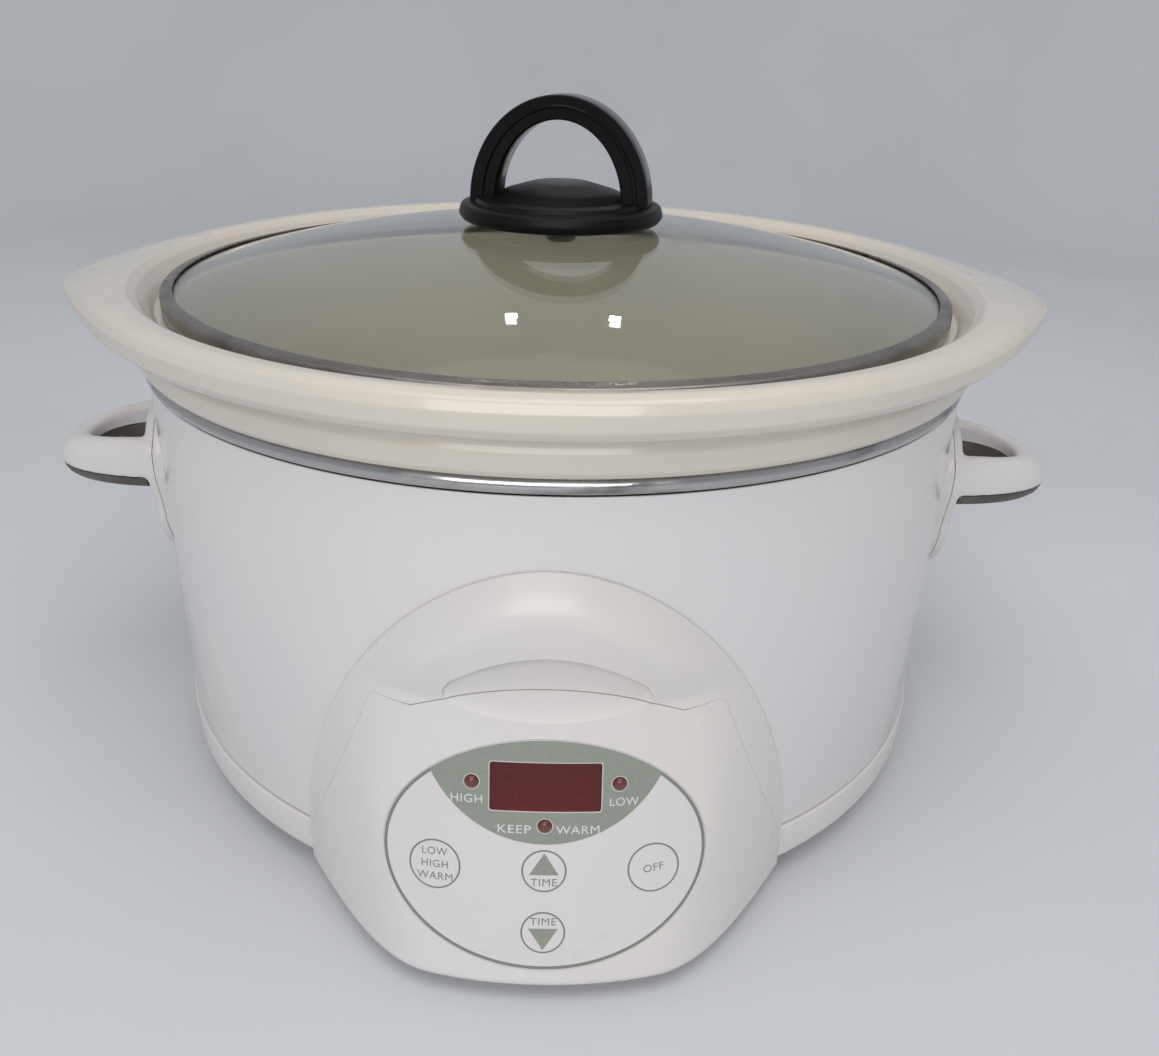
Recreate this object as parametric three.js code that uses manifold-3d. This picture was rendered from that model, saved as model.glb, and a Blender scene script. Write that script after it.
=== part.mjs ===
// A round countertop slow cooker: a steel-wrapped heating base with a front control pod,
// a removable stoneware crock with two side lugs, and a domed glass lid with an arched knob.
// Millimetres. +Z is up, the controls face -Y, and the carrying handles lie along X.
// The pieces are placed about the cooker's vertical axis, and the whole model is then moved
// along Y so that the origin is at the centre of its footprint, on the table.
import * as THREE from "three";
import { mergeVertices } from "three/addons/utils/BufferGeometryUtils.js";
import Module from "manifold-3d";

const wasm = await Module();
wasm.setup();

// ---------------------------------------------------------------- driving dimensions

const ROUND = 40; // facets round each large ring
const FINE = 10; // facets round each small hole or shaft
const MEDIUM = 16; // facets round each button, foot and lamp
const GAP = 0.3; // clearance between pieces that touch

// Base and steel wrap
const WRAP_RADIUS = 145;
const SHEET = 0.8; // sheet steel of the wrap, the liner and the bottom plate
const WRAP_BOTTOM = 22.3;
const WRAP_TOP = 146;
const SKIRT_RADIUS = 146;
const SKIRT_WALL = 3;
const SKIRT_BOTTOM = 8;
const SKIRT_TOP = WRAP_BOTTOM - GAP;
const FLANGE_INNER_RADIUS = 112;
const FLANGE_TOP = 10.5;
const PLATE_RADIUS = 124;
const PLATE_BOTTOM = FLANGE_TOP + GAP;
const PLATE_TOP = PLATE_BOTTOM + SHEET;
const FOOT_CIRCLE = 125;
const FOOT_RADIUS = 10;
const FOOT_STEM_RADIUS = 3.4;
const BASE_SCREW_CIRCLE = 118;
const BASE_SCREW_HOLE_RADIUS = 2.2;

// Heating liner, heater and rolled rim ring
const LINER_RADIUS = 138.3; // outside
const LINER_FLOOR = 20;
const LINER_FLOOR_RADIUS = 129; // where the floor turns up into the cone
const LINER_CONE_TOP = 29; // height at which the cone meets the wall
const LINER_LIP_RADIUS = 141.2;
const PAN_BOLT_HOLE_RADIUS = 2.6;
const HEATER_BOTTOM = 40;
const HEATER_TOP = 95;
const HEATER_THICKNESS = 2;
const BEAD_CENTRE = [143.8, 148.8]; // radius and height of the rolled bead
const BEAD_RADIUS = 2.5;

// Stoneware crock
const RIM_RADIUS = 155;
const RIM_TOP = 175.8;
const RIM_UNDERSIDE = 164.6;
const LUG_REACH = 23; // how far a lug stands out past the rim
const LUG_SPREAD = 16; // angle from the lug's tip at which half of the reach is left, degrees
const LUG_DROOP = 5.5;
const LUG_ROOT = 148; // radius at which the lug starts to grow out of the rim
const LEDGE_HEIGHT = 166;

// Lid
const GLASS_RADIUS = 137;
const GLASS_THICKNESS = 4;
const GLASS_EDGE_TOP = 171.3;
const DOME_RISE = 19;
const BAND_RADIUS = 138.2;
const KNOB_RADIUS = 36.6;
const KNOB_BOTTOM = 192.2;
const ARCH_BASE = 197;
const ARCH_HALF_WIDTH = 32;
const ARCH_HEIGHT = 36;
const ARCH_BAND_SIDE = 9.5;
const ARCH_BAND_TOP = 8;
const ARCH_DEPTH = 16;
const LID_TURN = -11; // the lid lies turned on the crock by this many degrees

// Side handles
const HANDLE_REACH = 194;
const HANDLE_HALF_WIDTH = 28;
const HANDLE_HOLE = [154.5, 180.5]; // inner and outer end of the finger hole
const HANDLE_HOLE_HALF_WIDTH = 20.5;
const GRIP_BOTTOM = 93.5;
const GRIP_TOP = 97.7;
const GRIP_LIP_TOP = 103.2;
const GRIP_LIP = 2;
const HANDLE_TOP = 112.8;
const HANDLE_TOP_FALL = 7.5; // how far the top drops from the wrap to the tip
const ESCUTCHEON_FACE = 152.5;
const ESCUTCHEON_TOP = 127;
const ESCUTCHEON_BOTTOM = 60;
const ESCUTCHEON_TOP_RADIUS = 28;
const ESCUTCHEON_BOTTOM_RADIUS = 24;
const HANDLE_SCREW_HEIGHTS = { upper: 117, lower: 74 };
const GRIP_SCREW_X = 188;

// Control pod
const POD_BOTTOM = 5;
const POD_FLOOR = 7.4;
const POD_FRONT = 174.3; // depth of the face at its foot
const POD_CENTRE = 15; // height at which the arched outline is widest
const POD_TOP = 125;
const POD_HALF_WIDTH = 76;
const POD_ARCH_POWER = 1.9; // 2 would make the arch half an ellipse
const POD_DRAFT = 1.5; // depth gained per unit of distance in from the outline, at the foot
const POD_DRAFT_FALL = 0.72; // how much less it is at the top
const POD_EDGE = 1; // the pod's rim stands proud of the wrap by this much
const POD_SOFTNESS = 5.5; // width of the blend between the front and the drafted sides
const POD_FOOT_SOFTNESS = 18; // the same at the foot
const POD_FOOT_RADIUS = 2.5;
const POD_WALL = 2.2;
const POD_BACK = 120; // depth at which the pod ends inside the wrap
const CAVITY_BACK = 125;
const FACE_WALL = 3.2;
const FACE_SLOPE = 0.287; // the face leans back by this much per unit of height
const FACE_LEAN = Math.atan(FACE_SLOPE);
const HOOD_FRONT = 153;
const HOOD_BULGE_HEIGHT = 108;
const SEAM_HEIGHT = 90.3;
const SEAM_ARC_HALF = 38; // half width of the arc across the front
const SEAM_ARC_FALL = 0.0053;
const SEAM_SHOULDER = [50, 83.4];
const SEAM_FOOT = 75; // distance from the middle at which the seam reaches the skirt

// Thumb scoop across the seam
const SCOOP_HALF_WIDTH = 28.8;
const SCOOP_BOTTOM = 81.2;
const SCOOP_TOP = 102.7;
const SCOOP_RUN_IN = 8; // height over which the floor of the scoop dishes in
const SCOOP_DISH = 0.9;

// Control face, in its own plane: x across, v up the face, n out of it
const FACE_CENTRE_HEIGHT = 44;
const OVERLAY_HALF_WIDTH = 46.3;
const OVERLAY_HALF_HEIGHT = 34.5;
const OVERLAY_THICKNESS = 0.5;
const OVERLAY_FACETS = 28;
const WINDOW_SIZE = [31, 14];
const WINDOW_V = 20.6;
const WINDOW_THICKNESS = 2.9;
const LED_RADIUS = 2;
const LED_PLACES = { high: [-20.6, 21.5], low: [20.6, 21.5], keep_warm: [0, 9.2] };
const BUTTONS = {
  mode: { x: -31, v: -4.2, radius: 7.35 },
  time_up: { x: 0, v: -4.2, radius: 6.25 },
  time_down: { x: 0, v: -22.9, radius: 6.25 },
  off: { x: 31, v: -4.2, radius: 7.35 },
};
const BUTTON_BACK = -5.9;
const BOARD_FRONT = -9;
const BOARD_THICKNESS = 1.6;
const BOARD_HALF_SIZE = [34.5, 28.5];
const BOARD_SCREW = { x: 29.5, v: 24 };

// Screws: shank, clearance hole and head
const SHANK_RADIUS = 1.5;
const SHANK_HOLE_RADIUS = 1.9;
const HEAD_RADIUS = 3.2;
const HOOD_SCREW = { x: 20, z: 108 };

// ---------------------------------------------------------------- materials

function finish(colour, roughness, metalness = 0, opacity = 1) {
  return new THREE.MeshStandardMaterial({
    color: colour, roughness, metalness, opacity, transparent: opacity < 1,
  });
}

const paintedSteel = finish(0xdad7d6, 0.25);
const whitePlastic = finish(0xdcdad6, 0.35);
const greyPlastic = finish(0x64605a, 0.5);
const blackPlastic = finish(0x0c0c0e, 0.15);
const chrome = finish(0xd0d0d2, 0.12, 1);
const bareSteel = finish(0xa8a8a6, 0.4, 1);
const stoneware = finish(0xd6cdbe, 0.15);
const clearGlass = finish(0xdfe6df, 0.02, 0, 0.3);
const rubber = finish(0x242424, 0.85);
const overlayFilm = finish(0xcfccc8, 0.4);
const redAcrylic = finish(0x69080f, 0.1, 0, 0.9);
const clearEpoxy = finish(0xc9b4b0, 0.1, 0, 0.7);
const circuitBoard = finish(0x1f5b33, 0.5);
const blackEpoxy = finish(0x1a1a1a, 0.5);
const heaterMica = finish(0xb59c6b, 0.7);
const relayBlue = finish(0x2a4f9a, 0.4);
const leadSleeve = finish(0x8a2a22, 0.6);

// ---------------------------------------------------------------- geometry helpers

// One closed surface with shared vertices and no empty triangles.
function weld(geometry) {
  const bare = new THREE.BufferGeometry();
  const source = geometry.index ? geometry.toNonIndexed() : geometry;
  bare.setAttribute("position", source.getAttribute("position"));
  const merged = mergeVertices(bare, 1e-4);
  const index = merged.index.array;
  const kept = [];
  for (let i = 0; i < index.length; i += 3) {
    const corners = [index[i], index[i + 1], index[i + 2]];
    if (new Set(corners).size === 3) kept.push(...corners);
  }
  merged.setIndex(kept);
  return merged;
}

// A solid whose faces point outwards, whichever way round the geometry was drawn.
function solid(geometry) {
  const { attributes, index } = weld(geometry);
  const triVerts = new Uint32Array(index.array);
  const build = () =>
    new wasm.Manifold(new wasm.Mesh({ numProp: 3, vertProperties: attributes.position.array, triVerts }));
  const first = build();
  if (first.volume() > 0) return first;
  for (let i = 0; i < triVerts.length; i += 3) {
    [triVerts[i + 1], triVerts[i + 2]] = [triVerts[i + 2], triVerts[i + 1]];
  }
  return build();
}

function join(first, ...others) {
  return others.reduce((sum, other) => sum.add(other), first);
}

function cut(body, ...tools) {
  return tools.reduce((left, tool) => left.subtract(tool), body);
}

// Drops the slivers that crossing cuts can leave beside the piece itself.
function mainBody(body) {
  return body.decompose().reduce((largest, other) => (other.volume() > largest.volume() ? other : largest));
}

function mesh(name, body, material) {
  const { vertProperties, triVerts } = body.getMesh();
  const geometry = new THREE.BufferGeometry();
  geometry.setAttribute("position", new THREE.Float32BufferAttribute(vertProperties, 3));
  geometry.setIndex(new THREE.Uint32BufferAttribute(triVerts, 1));
  geometry.computeVertexNormals();
  const made = new THREE.Mesh(geometry, material);
  made.name = name;
  return made;
}

// A closed [radius, height] profile turned about the Z axis.
function revolved(profile, facets = ROUND) {
  const points = profile.map(([radius, height]) => new THREE.Vector2(radius, height));
  const onAxis = profile[0][0] === 0 && profile[profile.length - 1][0] === 0;
  if (!onAxis) points.push(points[0].clone());
  return new THREE.LatheGeometry(points, facets).rotateX(Math.PI / 2);
}

function turned(profile, facets = ROUND) {
  return solid(revolved(profile, facets));
}

function drum(radius, bottom, top, facets = ROUND) {
  return turned([[0, bottom], [radius, bottom], [radius, top], [0, top]], facets);
}

function ringOf(inner, outer, bottom, top, facets = ROUND) {
  return turned([[inner, bottom], [outer, bottom], [outer, top], [inner, top]], facets);
}

function block([x0, y0, z0], [x1, y1, z1]) {
  const box = new THREE.BoxGeometry(x1 - x0, y1 - y0, z1 - z0);
  return solid(box.translate((x0 + x1) / 2, (y0 + y1) / 2, (z0 + z1) / 2));
}

// An upright drum laid along the given direction, from the given point.
function rod(radius, start, direction, length, facets = FINE) {
  const turn = new THREE.Quaternion().setFromUnitVectors(
    new THREE.Vector3(0, 0, 1), new THREE.Vector3(...direction).normalize());
  const bar = new THREE.CylinderGeometry(radius, radius, length, facets).rotateX(Math.PI / 2);
  return solid(bar.translate(0, 0, length / 2).applyQuaternion(turn).translate(...start));
}

// A pan-head screw: head below the given point, shank from it along the direction.
function screw(start, direction, length, head = HEAD_RADIUS, shank = SHANK_RADIUS) {
  const headHeight = head * 0.5;
  const profile = [
    [0, -headHeight], [head * 0.8, -headHeight], [head, 0], [shank, 0], [shank, length], [0, length],
  ];
  const turn = new THREE.Quaternion().setFromUnitVectors(
    new THREE.Vector3(0, 0, 1), new THREE.Vector3(...direction).normalize());
  return solid(revolved(profile, FINE).applyQuaternion(turn).translate(...start));
}

// A slab between two surfaces over a star-shaped outline, meshed in rings about a centre.
function patch(outline, centre, rings, low, high) {
  const count = outline.length;
  const positions = [];
  const place = (surface) => {
    positions.push(...surface(...centre));
    for (const ring of rings) {
      for (const [a, b] of outline) {
        positions.push(...surface(centre[0] + ring * (a - centre[0]), centre[1] + ring * (b - centre[1])));
      }
    }
  };
  place(low);
  place(high);
  const side = 1 + rings.length * count;
  const index = [];
  for (const [start, flip] of [[0, true], [side, false]]) {
    const face = (a, b, c) => index.push(...(flip ? [a, c, b] : [a, b, c]));
    for (let i = 0; i < count; i++) {
      const next = (i + 1) % count;
      face(start, start + 1 + i, start + 1 + next);
      for (let ring = 1; ring < rings.length; ring++) {
        const inner = start + 1 + (ring - 1) * count;
        const outer = inner + count;
        face(inner + i, outer + i, outer + next);
        face(inner + i, outer + next, inner + next);
      }
    }
  }
  const lowEdge = 1 + (rings.length - 1) * count;
  const highEdge = lowEdge + side;
  for (let i = 0; i < count; i++) {
    const next = (i + 1) % count;
    index.push(lowEdge + i, lowEdge + next, highEdge + next, lowEdge + i, highEdge + next, highEdge + i);
  }
  const geometry = new THREE.BufferGeometry();
  geometry.setAttribute("position", new THREE.Float32BufferAttribute(positions, 3));
  geometry.setIndex(index);
  return geometry;
}

function ellipse(halfWidth, halfHeight, facets, x = 0, v = 0) {
  return Array.from({ length: facets }, (_, i) => {
    const angle = (2 * Math.PI * i) / facets;
    return [x + halfWidth * Math.cos(angle), v + halfHeight * Math.sin(angle)];
  });
}

function clamp(value, low, high) {
  return Math.min(Math.max(value, low), high);
}

function smoothstep(low, high, value) {
  const t = clamp((value - low) / (high - low), 0, 1);
  return t * t * (3 - 2 * t);
}

// ---------------------------------------------------------------- heating base

const base = new THREE.Group();

function makeBase() {
  const linerInner = LINER_RADIUS - SHEET;
  const linerFlangeTop = WRAP_TOP + GAP + SHEET;
  const panBoltHole = rod(PAN_BOLT_HOLE_RADIUS, [0, 0, 0], [0, 0, 1], 40);
  const liner = cut(
    turned([
      [0, LINER_FLOOR], [LINER_FLOOR_RADIUS, LINER_FLOOR], [LINER_RADIUS, LINER_CONE_TOP],
      [LINER_RADIUS, WRAP_TOP + GAP], [LINER_LIP_RADIUS, WRAP_TOP + GAP], [LINER_LIP_RADIUS, linerFlangeTop],
      [linerInner, linerFlangeTop], [linerInner, LINER_CONE_TOP + SHEET / 2],
      [LINER_FLOOR_RADIUS - SHEET / 3, LINER_FLOOR + SHEET], [0, LINER_FLOOR + SHEET],
    ]),
    panBoltHole);
  base.add(mesh("heating_liner", liner, bareSteel));

  const heaterInner = LINER_RADIUS + GAP;
  const band = ringOf(heaterInner, heaterInner + HEATER_THICKNESS, HEATER_BOTTOM, HEATER_TOP);
  const split = block([-4, 100, HEATER_BOTTOM - 1], [4, 160, HEATER_TOP + 1]);
  base.add(mesh("heater_band", cut(band, split), heaterMica));

  const bead = Array.from({ length: 5 }, (_, i) => {
    const angle = ((-100 + i * 60) * Math.PI) / 180;
    return [BEAD_CENTRE[0] + BEAD_RADIUS * Math.cos(angle), BEAD_CENTRE[1] + BEAD_RADIUS * Math.sin(angle)];
  });
  const flangeTop = BEAD_CENTRE[1] + 0.4;
  const flangeEnd = BEAD_CENTRE[0] - BEAD_RADIUS + 0.1; // where the flange runs into the bead
  const ring = turned([[LINER_RADIUS, linerFlangeTop + GAP], [flangeEnd, linerFlangeTop + GAP], ...bead,
    [LINER_RADIUS, flangeTop]]);
  base.add(mesh("rim_ring", ring, chrome));

  const plate = cut(
    drum(PLATE_RADIUS, PLATE_BOTTOM, PLATE_TOP),
    panBoltHole,
    ...baseScrewPlaces().map(([x, y]) => rod(BASE_SCREW_HOLE_RADIUS, [x, y, 0], [0, 0, 1], 20)));
  base.add(mesh("bottom_plate", plate, bareSteel));

  const boltHead = LINER_FLOOR + SHEET + GAP;
  const boltEnd = 7;
  const bolt = { head: 5.6, shank: 2.2 };
  base.add(mesh("pan_bolt",
    screw([0, 0, boltHead], [0, 0, -1], boltHead - boltEnd, bolt.head, bolt.shank), bareSteel));
  const nutTop = PLATE_BOTTOM - GAP;
  const nutHeight = 3;
  const nut = cut(drum(5, nutTop - nutHeight, nutTop, 6), rod(bolt.shank + GAP, [0, 0, 0], [0, 0, 1], 20));
  base.add(mesh("pan_nut", nut, bareSteel));

  baseScrewPlaces().forEach(([x, y], i) => {
    const body = screw([x, y, SKIRT_BOTTOM - GAP], [0, 0, 1], 7, 3.8, 1.8);
    base.add(mesh(`base_screw_${i + 1}`, body, bareSteel));
  });
  footPlaces().forEach(([x, y], i) => {
    const foot = turned([
      [0, 0], [FOOT_RADIUS - 1.5, 0], [FOOT_RADIUS, 1.5], [FOOT_RADIUS, SKIRT_BOTTOM - GAP],
      [FOOT_STEM_RADIUS, SKIRT_BOTTOM - GAP], [FOOT_STEM_RADIUS, FLANGE_TOP], [0, FLANGE_TOP],
    ], MEDIUM);
    base.add(mesh(`foot_${i + 1}`, foot.translate([x, y, 0]), rubber));
  });

  const sensorPlace = -58;
  const sensor = turned([[0, 13.4], [5, 13.4], [5, 17.6], [3.2, 18.4], [3.2, LINER_FLOOR - GAP],
    [0, LINER_FLOOR - GAP]], FINE);
  base.add(mesh("temperature_sensor", sensor.translate([0, sensorPlace, 0]), bareSteel));
  const fuse = { radius: 2, length: 11, start: 24, height: 16.8 };
  const fuseStart = [fuse.start, sensorPlace, fuse.height];
  base.add(mesh("thermal_fuse", rod(fuse.radius, fuseStart, [1, 0, 0], fuse.length), chrome));
}

function around(radius, degrees) {
  const angle = (degrees * Math.PI) / 180;
  return [radius * Math.cos(angle), radius * Math.sin(angle)];
}

function footPlaces() {
  return [45, 135, 225, 315].map((degrees) => around(FOOT_CIRCLE, degrees));
}

function baseScrewPlaces() {
  return [90, 210, 330].map((degrees) => around(BASE_SCREW_CIRCLE, degrees));
}

// The wrap is one sheet, with holes for the handle and hood screws and a window behind the pod.
function makeWrap() {
  const wrapWindow = { halfWidth: 38, bottom: 26, top: 86 };
  const wrap = cut(
    ringOf(WRAP_RADIUS - SHEET, WRAP_RADIUS, WRAP_BOTTOM, WRAP_TOP),
    block([-wrapWindow.halfWidth, -160, wrapWindow.bottom], [wrapWindow.halfWidth, -130, wrapWindow.top]),
    ...[-1, 1].flatMap((side) => Object.values(HANDLE_SCREW_HEIGHTS).map((height) =>
      rod(SHANK_HOLE_RADIUS, [side * 130, 0, height], [side, 0, 0], 30))),
    ...hoodScrewPlaces().map(([x, z]) => rod(SHANK_HOLE_RADIUS, [x, -130, z], [0, -1, 0], 30)));
  base.add(mesh("outer_wrap", wrap, paintedSteel));
}

// The inlet bush for the power cord, in the back of the skirt.
const GLAND_HEIGHT = 16.5;
const GLAND_RADIUS = 4.9;
const GLAND_FLANGE_RADIUS = 5.8;
const GLAND_BORE_RADIUS = 3.5;

function makeGland() {
  const inside = SKIRT_RADIUS - SKIRT_WALL - GAP - 0.4;
  const outside = SKIRT_RADIUS + GAP;
  const bush = turned([
    [GLAND_BORE_RADIUS, inside - 2], [GLAND_FLANGE_RADIUS, inside - 2], [GLAND_FLANGE_RADIUS, inside],
    [GLAND_RADIUS, inside], [GLAND_RADIUS, outside], [GLAND_FLANGE_RADIUS, outside],
    [GLAND_FLANGE_RADIUS, outside + 1.8], [GLAND_BORE_RADIUS + 0.6, outside + 2.6],
    [GLAND_BORE_RADIUS, outside + 2.6],
  ], FINE);
  base.add(mesh("cord_gland", bush.rotate([-90, 0, 0]).translate([0, 0, GLAND_HEIGHT]), blackPlastic));
}

// ---------------------------------------------------------------- side handles

// Plan of the D-shaped loop: a wide end at the escutcheon and a rounded tip.
function loopOutline(start, reach, halfWidth) {
  const outline = new THREE.Shape();
  outline.moveTo(start, -halfWidth);
  outline.bezierCurveTo(start + 0.62 * (reach - start), -halfWidth, reach, -0.6 * halfWidth, reach, 0);
  outline.bezierCurveTo(reach, 0.6 * halfWidth, start + 0.62 * (reach - start), halfWidth, start, halfWidth);
  outline.closePath();
  return outline;
}

function upright(shape, bottom, top) {
  const options = { depth: top - bottom, bevelEnabled: false, curveSegments: 6 };
  return solid(new THREE.ExtrudeGeometry(shape, options).translate(0, 0, bottom));
}

// Everything is drawn for the +X side; the other side is turned half round.
function handlePieces() {
  const [holeStart, holeEnd] = HANDLE_HOLE;
  const hole = loopOutline(holeStart, holeEnd, HANDLE_HOLE_HALF_WIDTH);
  const lipPocket = loopOutline(holeStart - GRIP_LIP - GAP, holeEnd + GRIP_LIP + GAP,
    HANDLE_HOLE_HALF_WIDTH + GRIP_LIP + GAP);
  const lip = loopOutline(holeStart - GRIP_LIP, holeEnd + GRIP_LIP, HANDLE_HOLE_HALF_WIDTH + GRIP_LIP);
  const loopStart = 148;
  const shellBottom = GRIP_TOP + GAP;

  const roof = new THREE.Shape();
  roof.moveTo(loopStart - 10, HANDLE_TOP);
  const steps = 4;
  for (let i = 0; i <= steps; i++) {
    const t = i / steps;
    roof.lineTo(loopStart + t * (HANDLE_REACH - loopStart), HANDLE_TOP - HANDLE_TOP_FALL * t ** 2);
  }
  roof.lineTo(HANDLE_REACH + 10, HANDLE_TOP - HANDLE_TOP_FALL - 3);
  roof.lineTo(HANDLE_REACH + 10, HANDLE_TOP + 20);
  roof.lineTo(loopStart - 10, HANDLE_TOP + 20);
  const roofCut = new THREE.ExtrudeGeometry(roof, { depth: 80, bevelEnabled: false });
  roofCut.rotateX(Math.PI / 2).translate(0, 40, 0);

  const loop = cut(
    upright(loopOutline(loopStart, HANDLE_REACH, HANDLE_HALF_WIDTH), shellBottom, HANDLE_TOP + 1),
    solid(roofCut));

  const plate = new THREE.Shape();
  const topCentre = ESCUTCHEON_TOP - ESCUTCHEON_TOP_RADIUS;
  const bottomCentre = ESCUTCHEON_BOTTOM + ESCUTCHEON_BOTTOM_RADIUS;
  plate.absarc(0, topCentre, ESCUTCHEON_TOP_RADIUS, 0, Math.PI, false);
  plate.absarc(0, bottomCentre, ESCUTCHEON_BOTTOM_RADIUS, Math.PI, 2 * Math.PI, false);
  plate.closePath();
  const bevel = 3;
  const plateBack = 130;
  const escutcheon = new THREE.ExtrudeGeometry(plate, {
    depth: ESCUTCHEON_FACE - bevel - plateBack, curveSegments: 8,
    bevelThickness: bevel, bevelSize: bevel, bevelOffset: -bevel, bevelSegments: 1,
  });
  // The plate's x, y and depth become y, z and x.
  escutcheon.rotateX(Math.PI / 2).rotateZ(Math.PI / 2).translate(plateBack, 0, 0);

  const screwHoles = Object.values(HANDLE_SCREW_HEIGHTS).map((height) =>
    rod(SHANK_HOLE_RADIUS, [130, 0, height], [1, 0, 0], 21));
  const gripScrewStart = GRIP_BOTTOM + 2;
  const shell = cut(
    join(solid(escutcheon), loop),
    drum(WRAP_RADIUS + GAP, 0, 200),
    upright(hole, 80, 140),
    upright(lipPocket, 80, GRIP_LIP_TOP + GAP),
    rod(SHANK_HOLE_RADIUS, [GRIP_SCREW_X, 0, 90], [0, 0, 1], 12.5),
    ...screwHoles);

  const gripStart = ESCUTCHEON_FACE + GAP;
  const wall = cut(upright(lip, GRIP_BOTTOM, GRIP_LIP_TOP), upright(hole, 80, 140));
  const tray = cut(
    upright(loopOutline(loopStart, HANDLE_REACH - 0.8, HANDLE_HALF_WIDTH - 0.8), GRIP_BOTTOM, GRIP_TOP),
    upright(hole, 80, 140));
  const grip = cut(
    join(tray, wall),
    block([100, -60, 60], [gripStart, 60, 140]),
    rod(SHANK_HOLE_RADIUS, [GRIP_SCREW_X, 0, 80], [0, 0, 1], 40),
    rod(HEAD_RADIUS + GAP, [GRIP_SCREW_X, 0, 80], [0, 0, 1], gripScrewStart - 80));
  const pieces = { shell: [shell, whitePlastic], grip: [grip, greyPlastic] };
  for (const [level, height] of Object.entries(HANDLE_SCREW_HEIGHTS)) {
    const start = WRAP_RADIUS - SHEET - GAP;
    pieces[`screw_${level}`] = [screw([start, 0, height], [1, 0, 0], 6.4), bareSteel];
  }
  pieces.grip_screw = [screw([GRIP_SCREW_X, 0, gripScrewStart - GAP], [0, 0, 1], 6.5, 2.9), bareSteel];
  return pieces;
}

function makeHandles() {
  for (const [side, turn] of [["right", 0], ["left", 180]]) {
    for (const [piece, [body, material]] of Object.entries(handlePieces())) {
      base.add(mesh(`handle_${side}_${piece}`, body.rotate([0, 0, turn]), material));
    }
  }
}

// ---------------------------------------------------------------- control pod

// How far the front surfaces fall back at a distance x from the middle.
function faceDrop(x) {
  return 0.0034 * x ** 2 + 3e-7 * x ** 4;
}

function faceDepth(z) {
  const face = POD_FRONT - FACE_SLOPE * (z - POD_BOTTOM);
  const hood = HOOD_FRONT - 1.6 * ((z - HOOD_BULGE_HEIGHT) / 20) ** 2;
  return Math.max(face, hood);
}

// Depth of the drafted sides, which rise from the pod's outline on the wrap.
function sideDepth(x, z, inset) {
  const steepness = POD_DRAFT - POD_DRAFT_FALL * smoothstep(0, 100, z);
  const up = z - POD_CENTRE;
  let edge = POD_HALF_WIDTH - inset;
  let inside = edge - Math.abs(x);
  if (up > 0) {
    const across = Math.abs(x) / edge;
    const rise = up / (POD_TOP - inset - POD_CENTRE);
    const share = (across ** POD_ARCH_POWER + rise ** POD_ARCH_POWER) ** (1 / POD_ARCH_POWER);
    edge = Math.abs(x) / share;
    inside = ((1 - share) * Math.hypot(x, up)) / share;
  }
  const foot = Math.sqrt((WRAP_RADIUS + POD_EDGE) ** 2 - edge ** 2);
  return foot + steepness * inside;
}

function softMin(a, b, softness) {
  const blend = Math.max(softness - Math.abs(a - b), 0) / softness;
  return Math.min(a, b) - (blend ** 2 * softness) / 4;
}

function podDepth(x, z, inset = 0) {
  const front = faceDepth(z) - faceDrop(x) - (inset ? FACE_WALL : 0);
  const foot = clamp(POD_BOTTOM + POD_FOOT_RADIUS - z, 0, POD_FOOT_RADIUS);
  const rounding = POD_FOOT_RADIUS - Math.sqrt(POD_FOOT_RADIUS ** 2 - foot ** 2);
  const softness = POD_FOOT_SOFTNESS + (POD_SOFTNESS - POD_FOOT_SOFTNESS) * smoothstep(8, 62, z);
  return softMin(front, sideDepth(x, z, inset), softness) - rounding;
}

// Outline of the pod on the front elevation, from the bottom right round over the arch.
function podOutline(inset, bottom) {
  const halfWidth = POD_HALF_WIDTH - inset;
  const power = 2 / POD_ARCH_POWER;
  const outline = [[halfWidth, bottom]];
  const archSteps = 24;
  for (let i = 0; i <= archSteps; i++) {
    const angle = (Math.PI * i) / archSteps;
    const across = Math.sign(Math.cos(angle)) * Math.abs(Math.cos(angle)) ** power;
    const up = Math.sin(angle) ** power;
    outline.push([halfWidth * across, POD_CENTRE + (POD_TOP - inset - POD_CENTRE) * up]);
  }
  outline.push([-halfWidth, bottom]);
  const bottomSteps = 8;
  for (let i = 1; i < bottomSteps; i++) outline.push([halfWidth * ((2 * i) / bottomSteps - 1), bottom]);
  return outline;
}

function podSolid(inset, bottom, back, rings) {
  const low = (x, z) => [x, -back, z];
  const high = (x, z) => [x, -podDepth(x, z, inset), z];
  return solid(patch(podOutline(inset, bottom), [0, 55], rings, low, high));
}

// Front elevation of the lower half: the seam crosses the front in an arc and runs down each side.
function seamPrism(grow) {
  const shape = new THREE.Shape();
  const foot = SEAM_FOOT + grow;
  const shoulder = SEAM_SHOULDER[0] + grow;
  const shoulderHeight = SEAM_SHOULDER[1] + grow;
  shape.moveTo(-foot, SKIRT_TOP + grow);
  shape.lineTo(-shoulder, shoulderHeight);
  const steps = 6;
  for (let i = 0; i <= steps; i++) {
    const x = SEAM_ARC_HALF * ((2 * i) / steps - 1);
    shape.lineTo(x, SEAM_HEIGHT + grow - SEAM_ARC_FALL * x ** 2);
  }
  shape.lineTo(shoulder, shoulderHeight);
  shape.lineTo(foot, SKIRT_TOP + grow);
  shape.lineTo(100, SKIRT_TOP + grow);
  shape.lineTo(100, -10);
  shape.lineTo(-100, -10);
  shape.lineTo(-100, SKIRT_TOP + grow);
  const prism = new THREE.ExtrudeGeometry(shape, { depth: 100, bevelEnabled: false });
  return solid(prism.rotateX(Math.PI / 2).translate(0, -100, 0));
}

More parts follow.
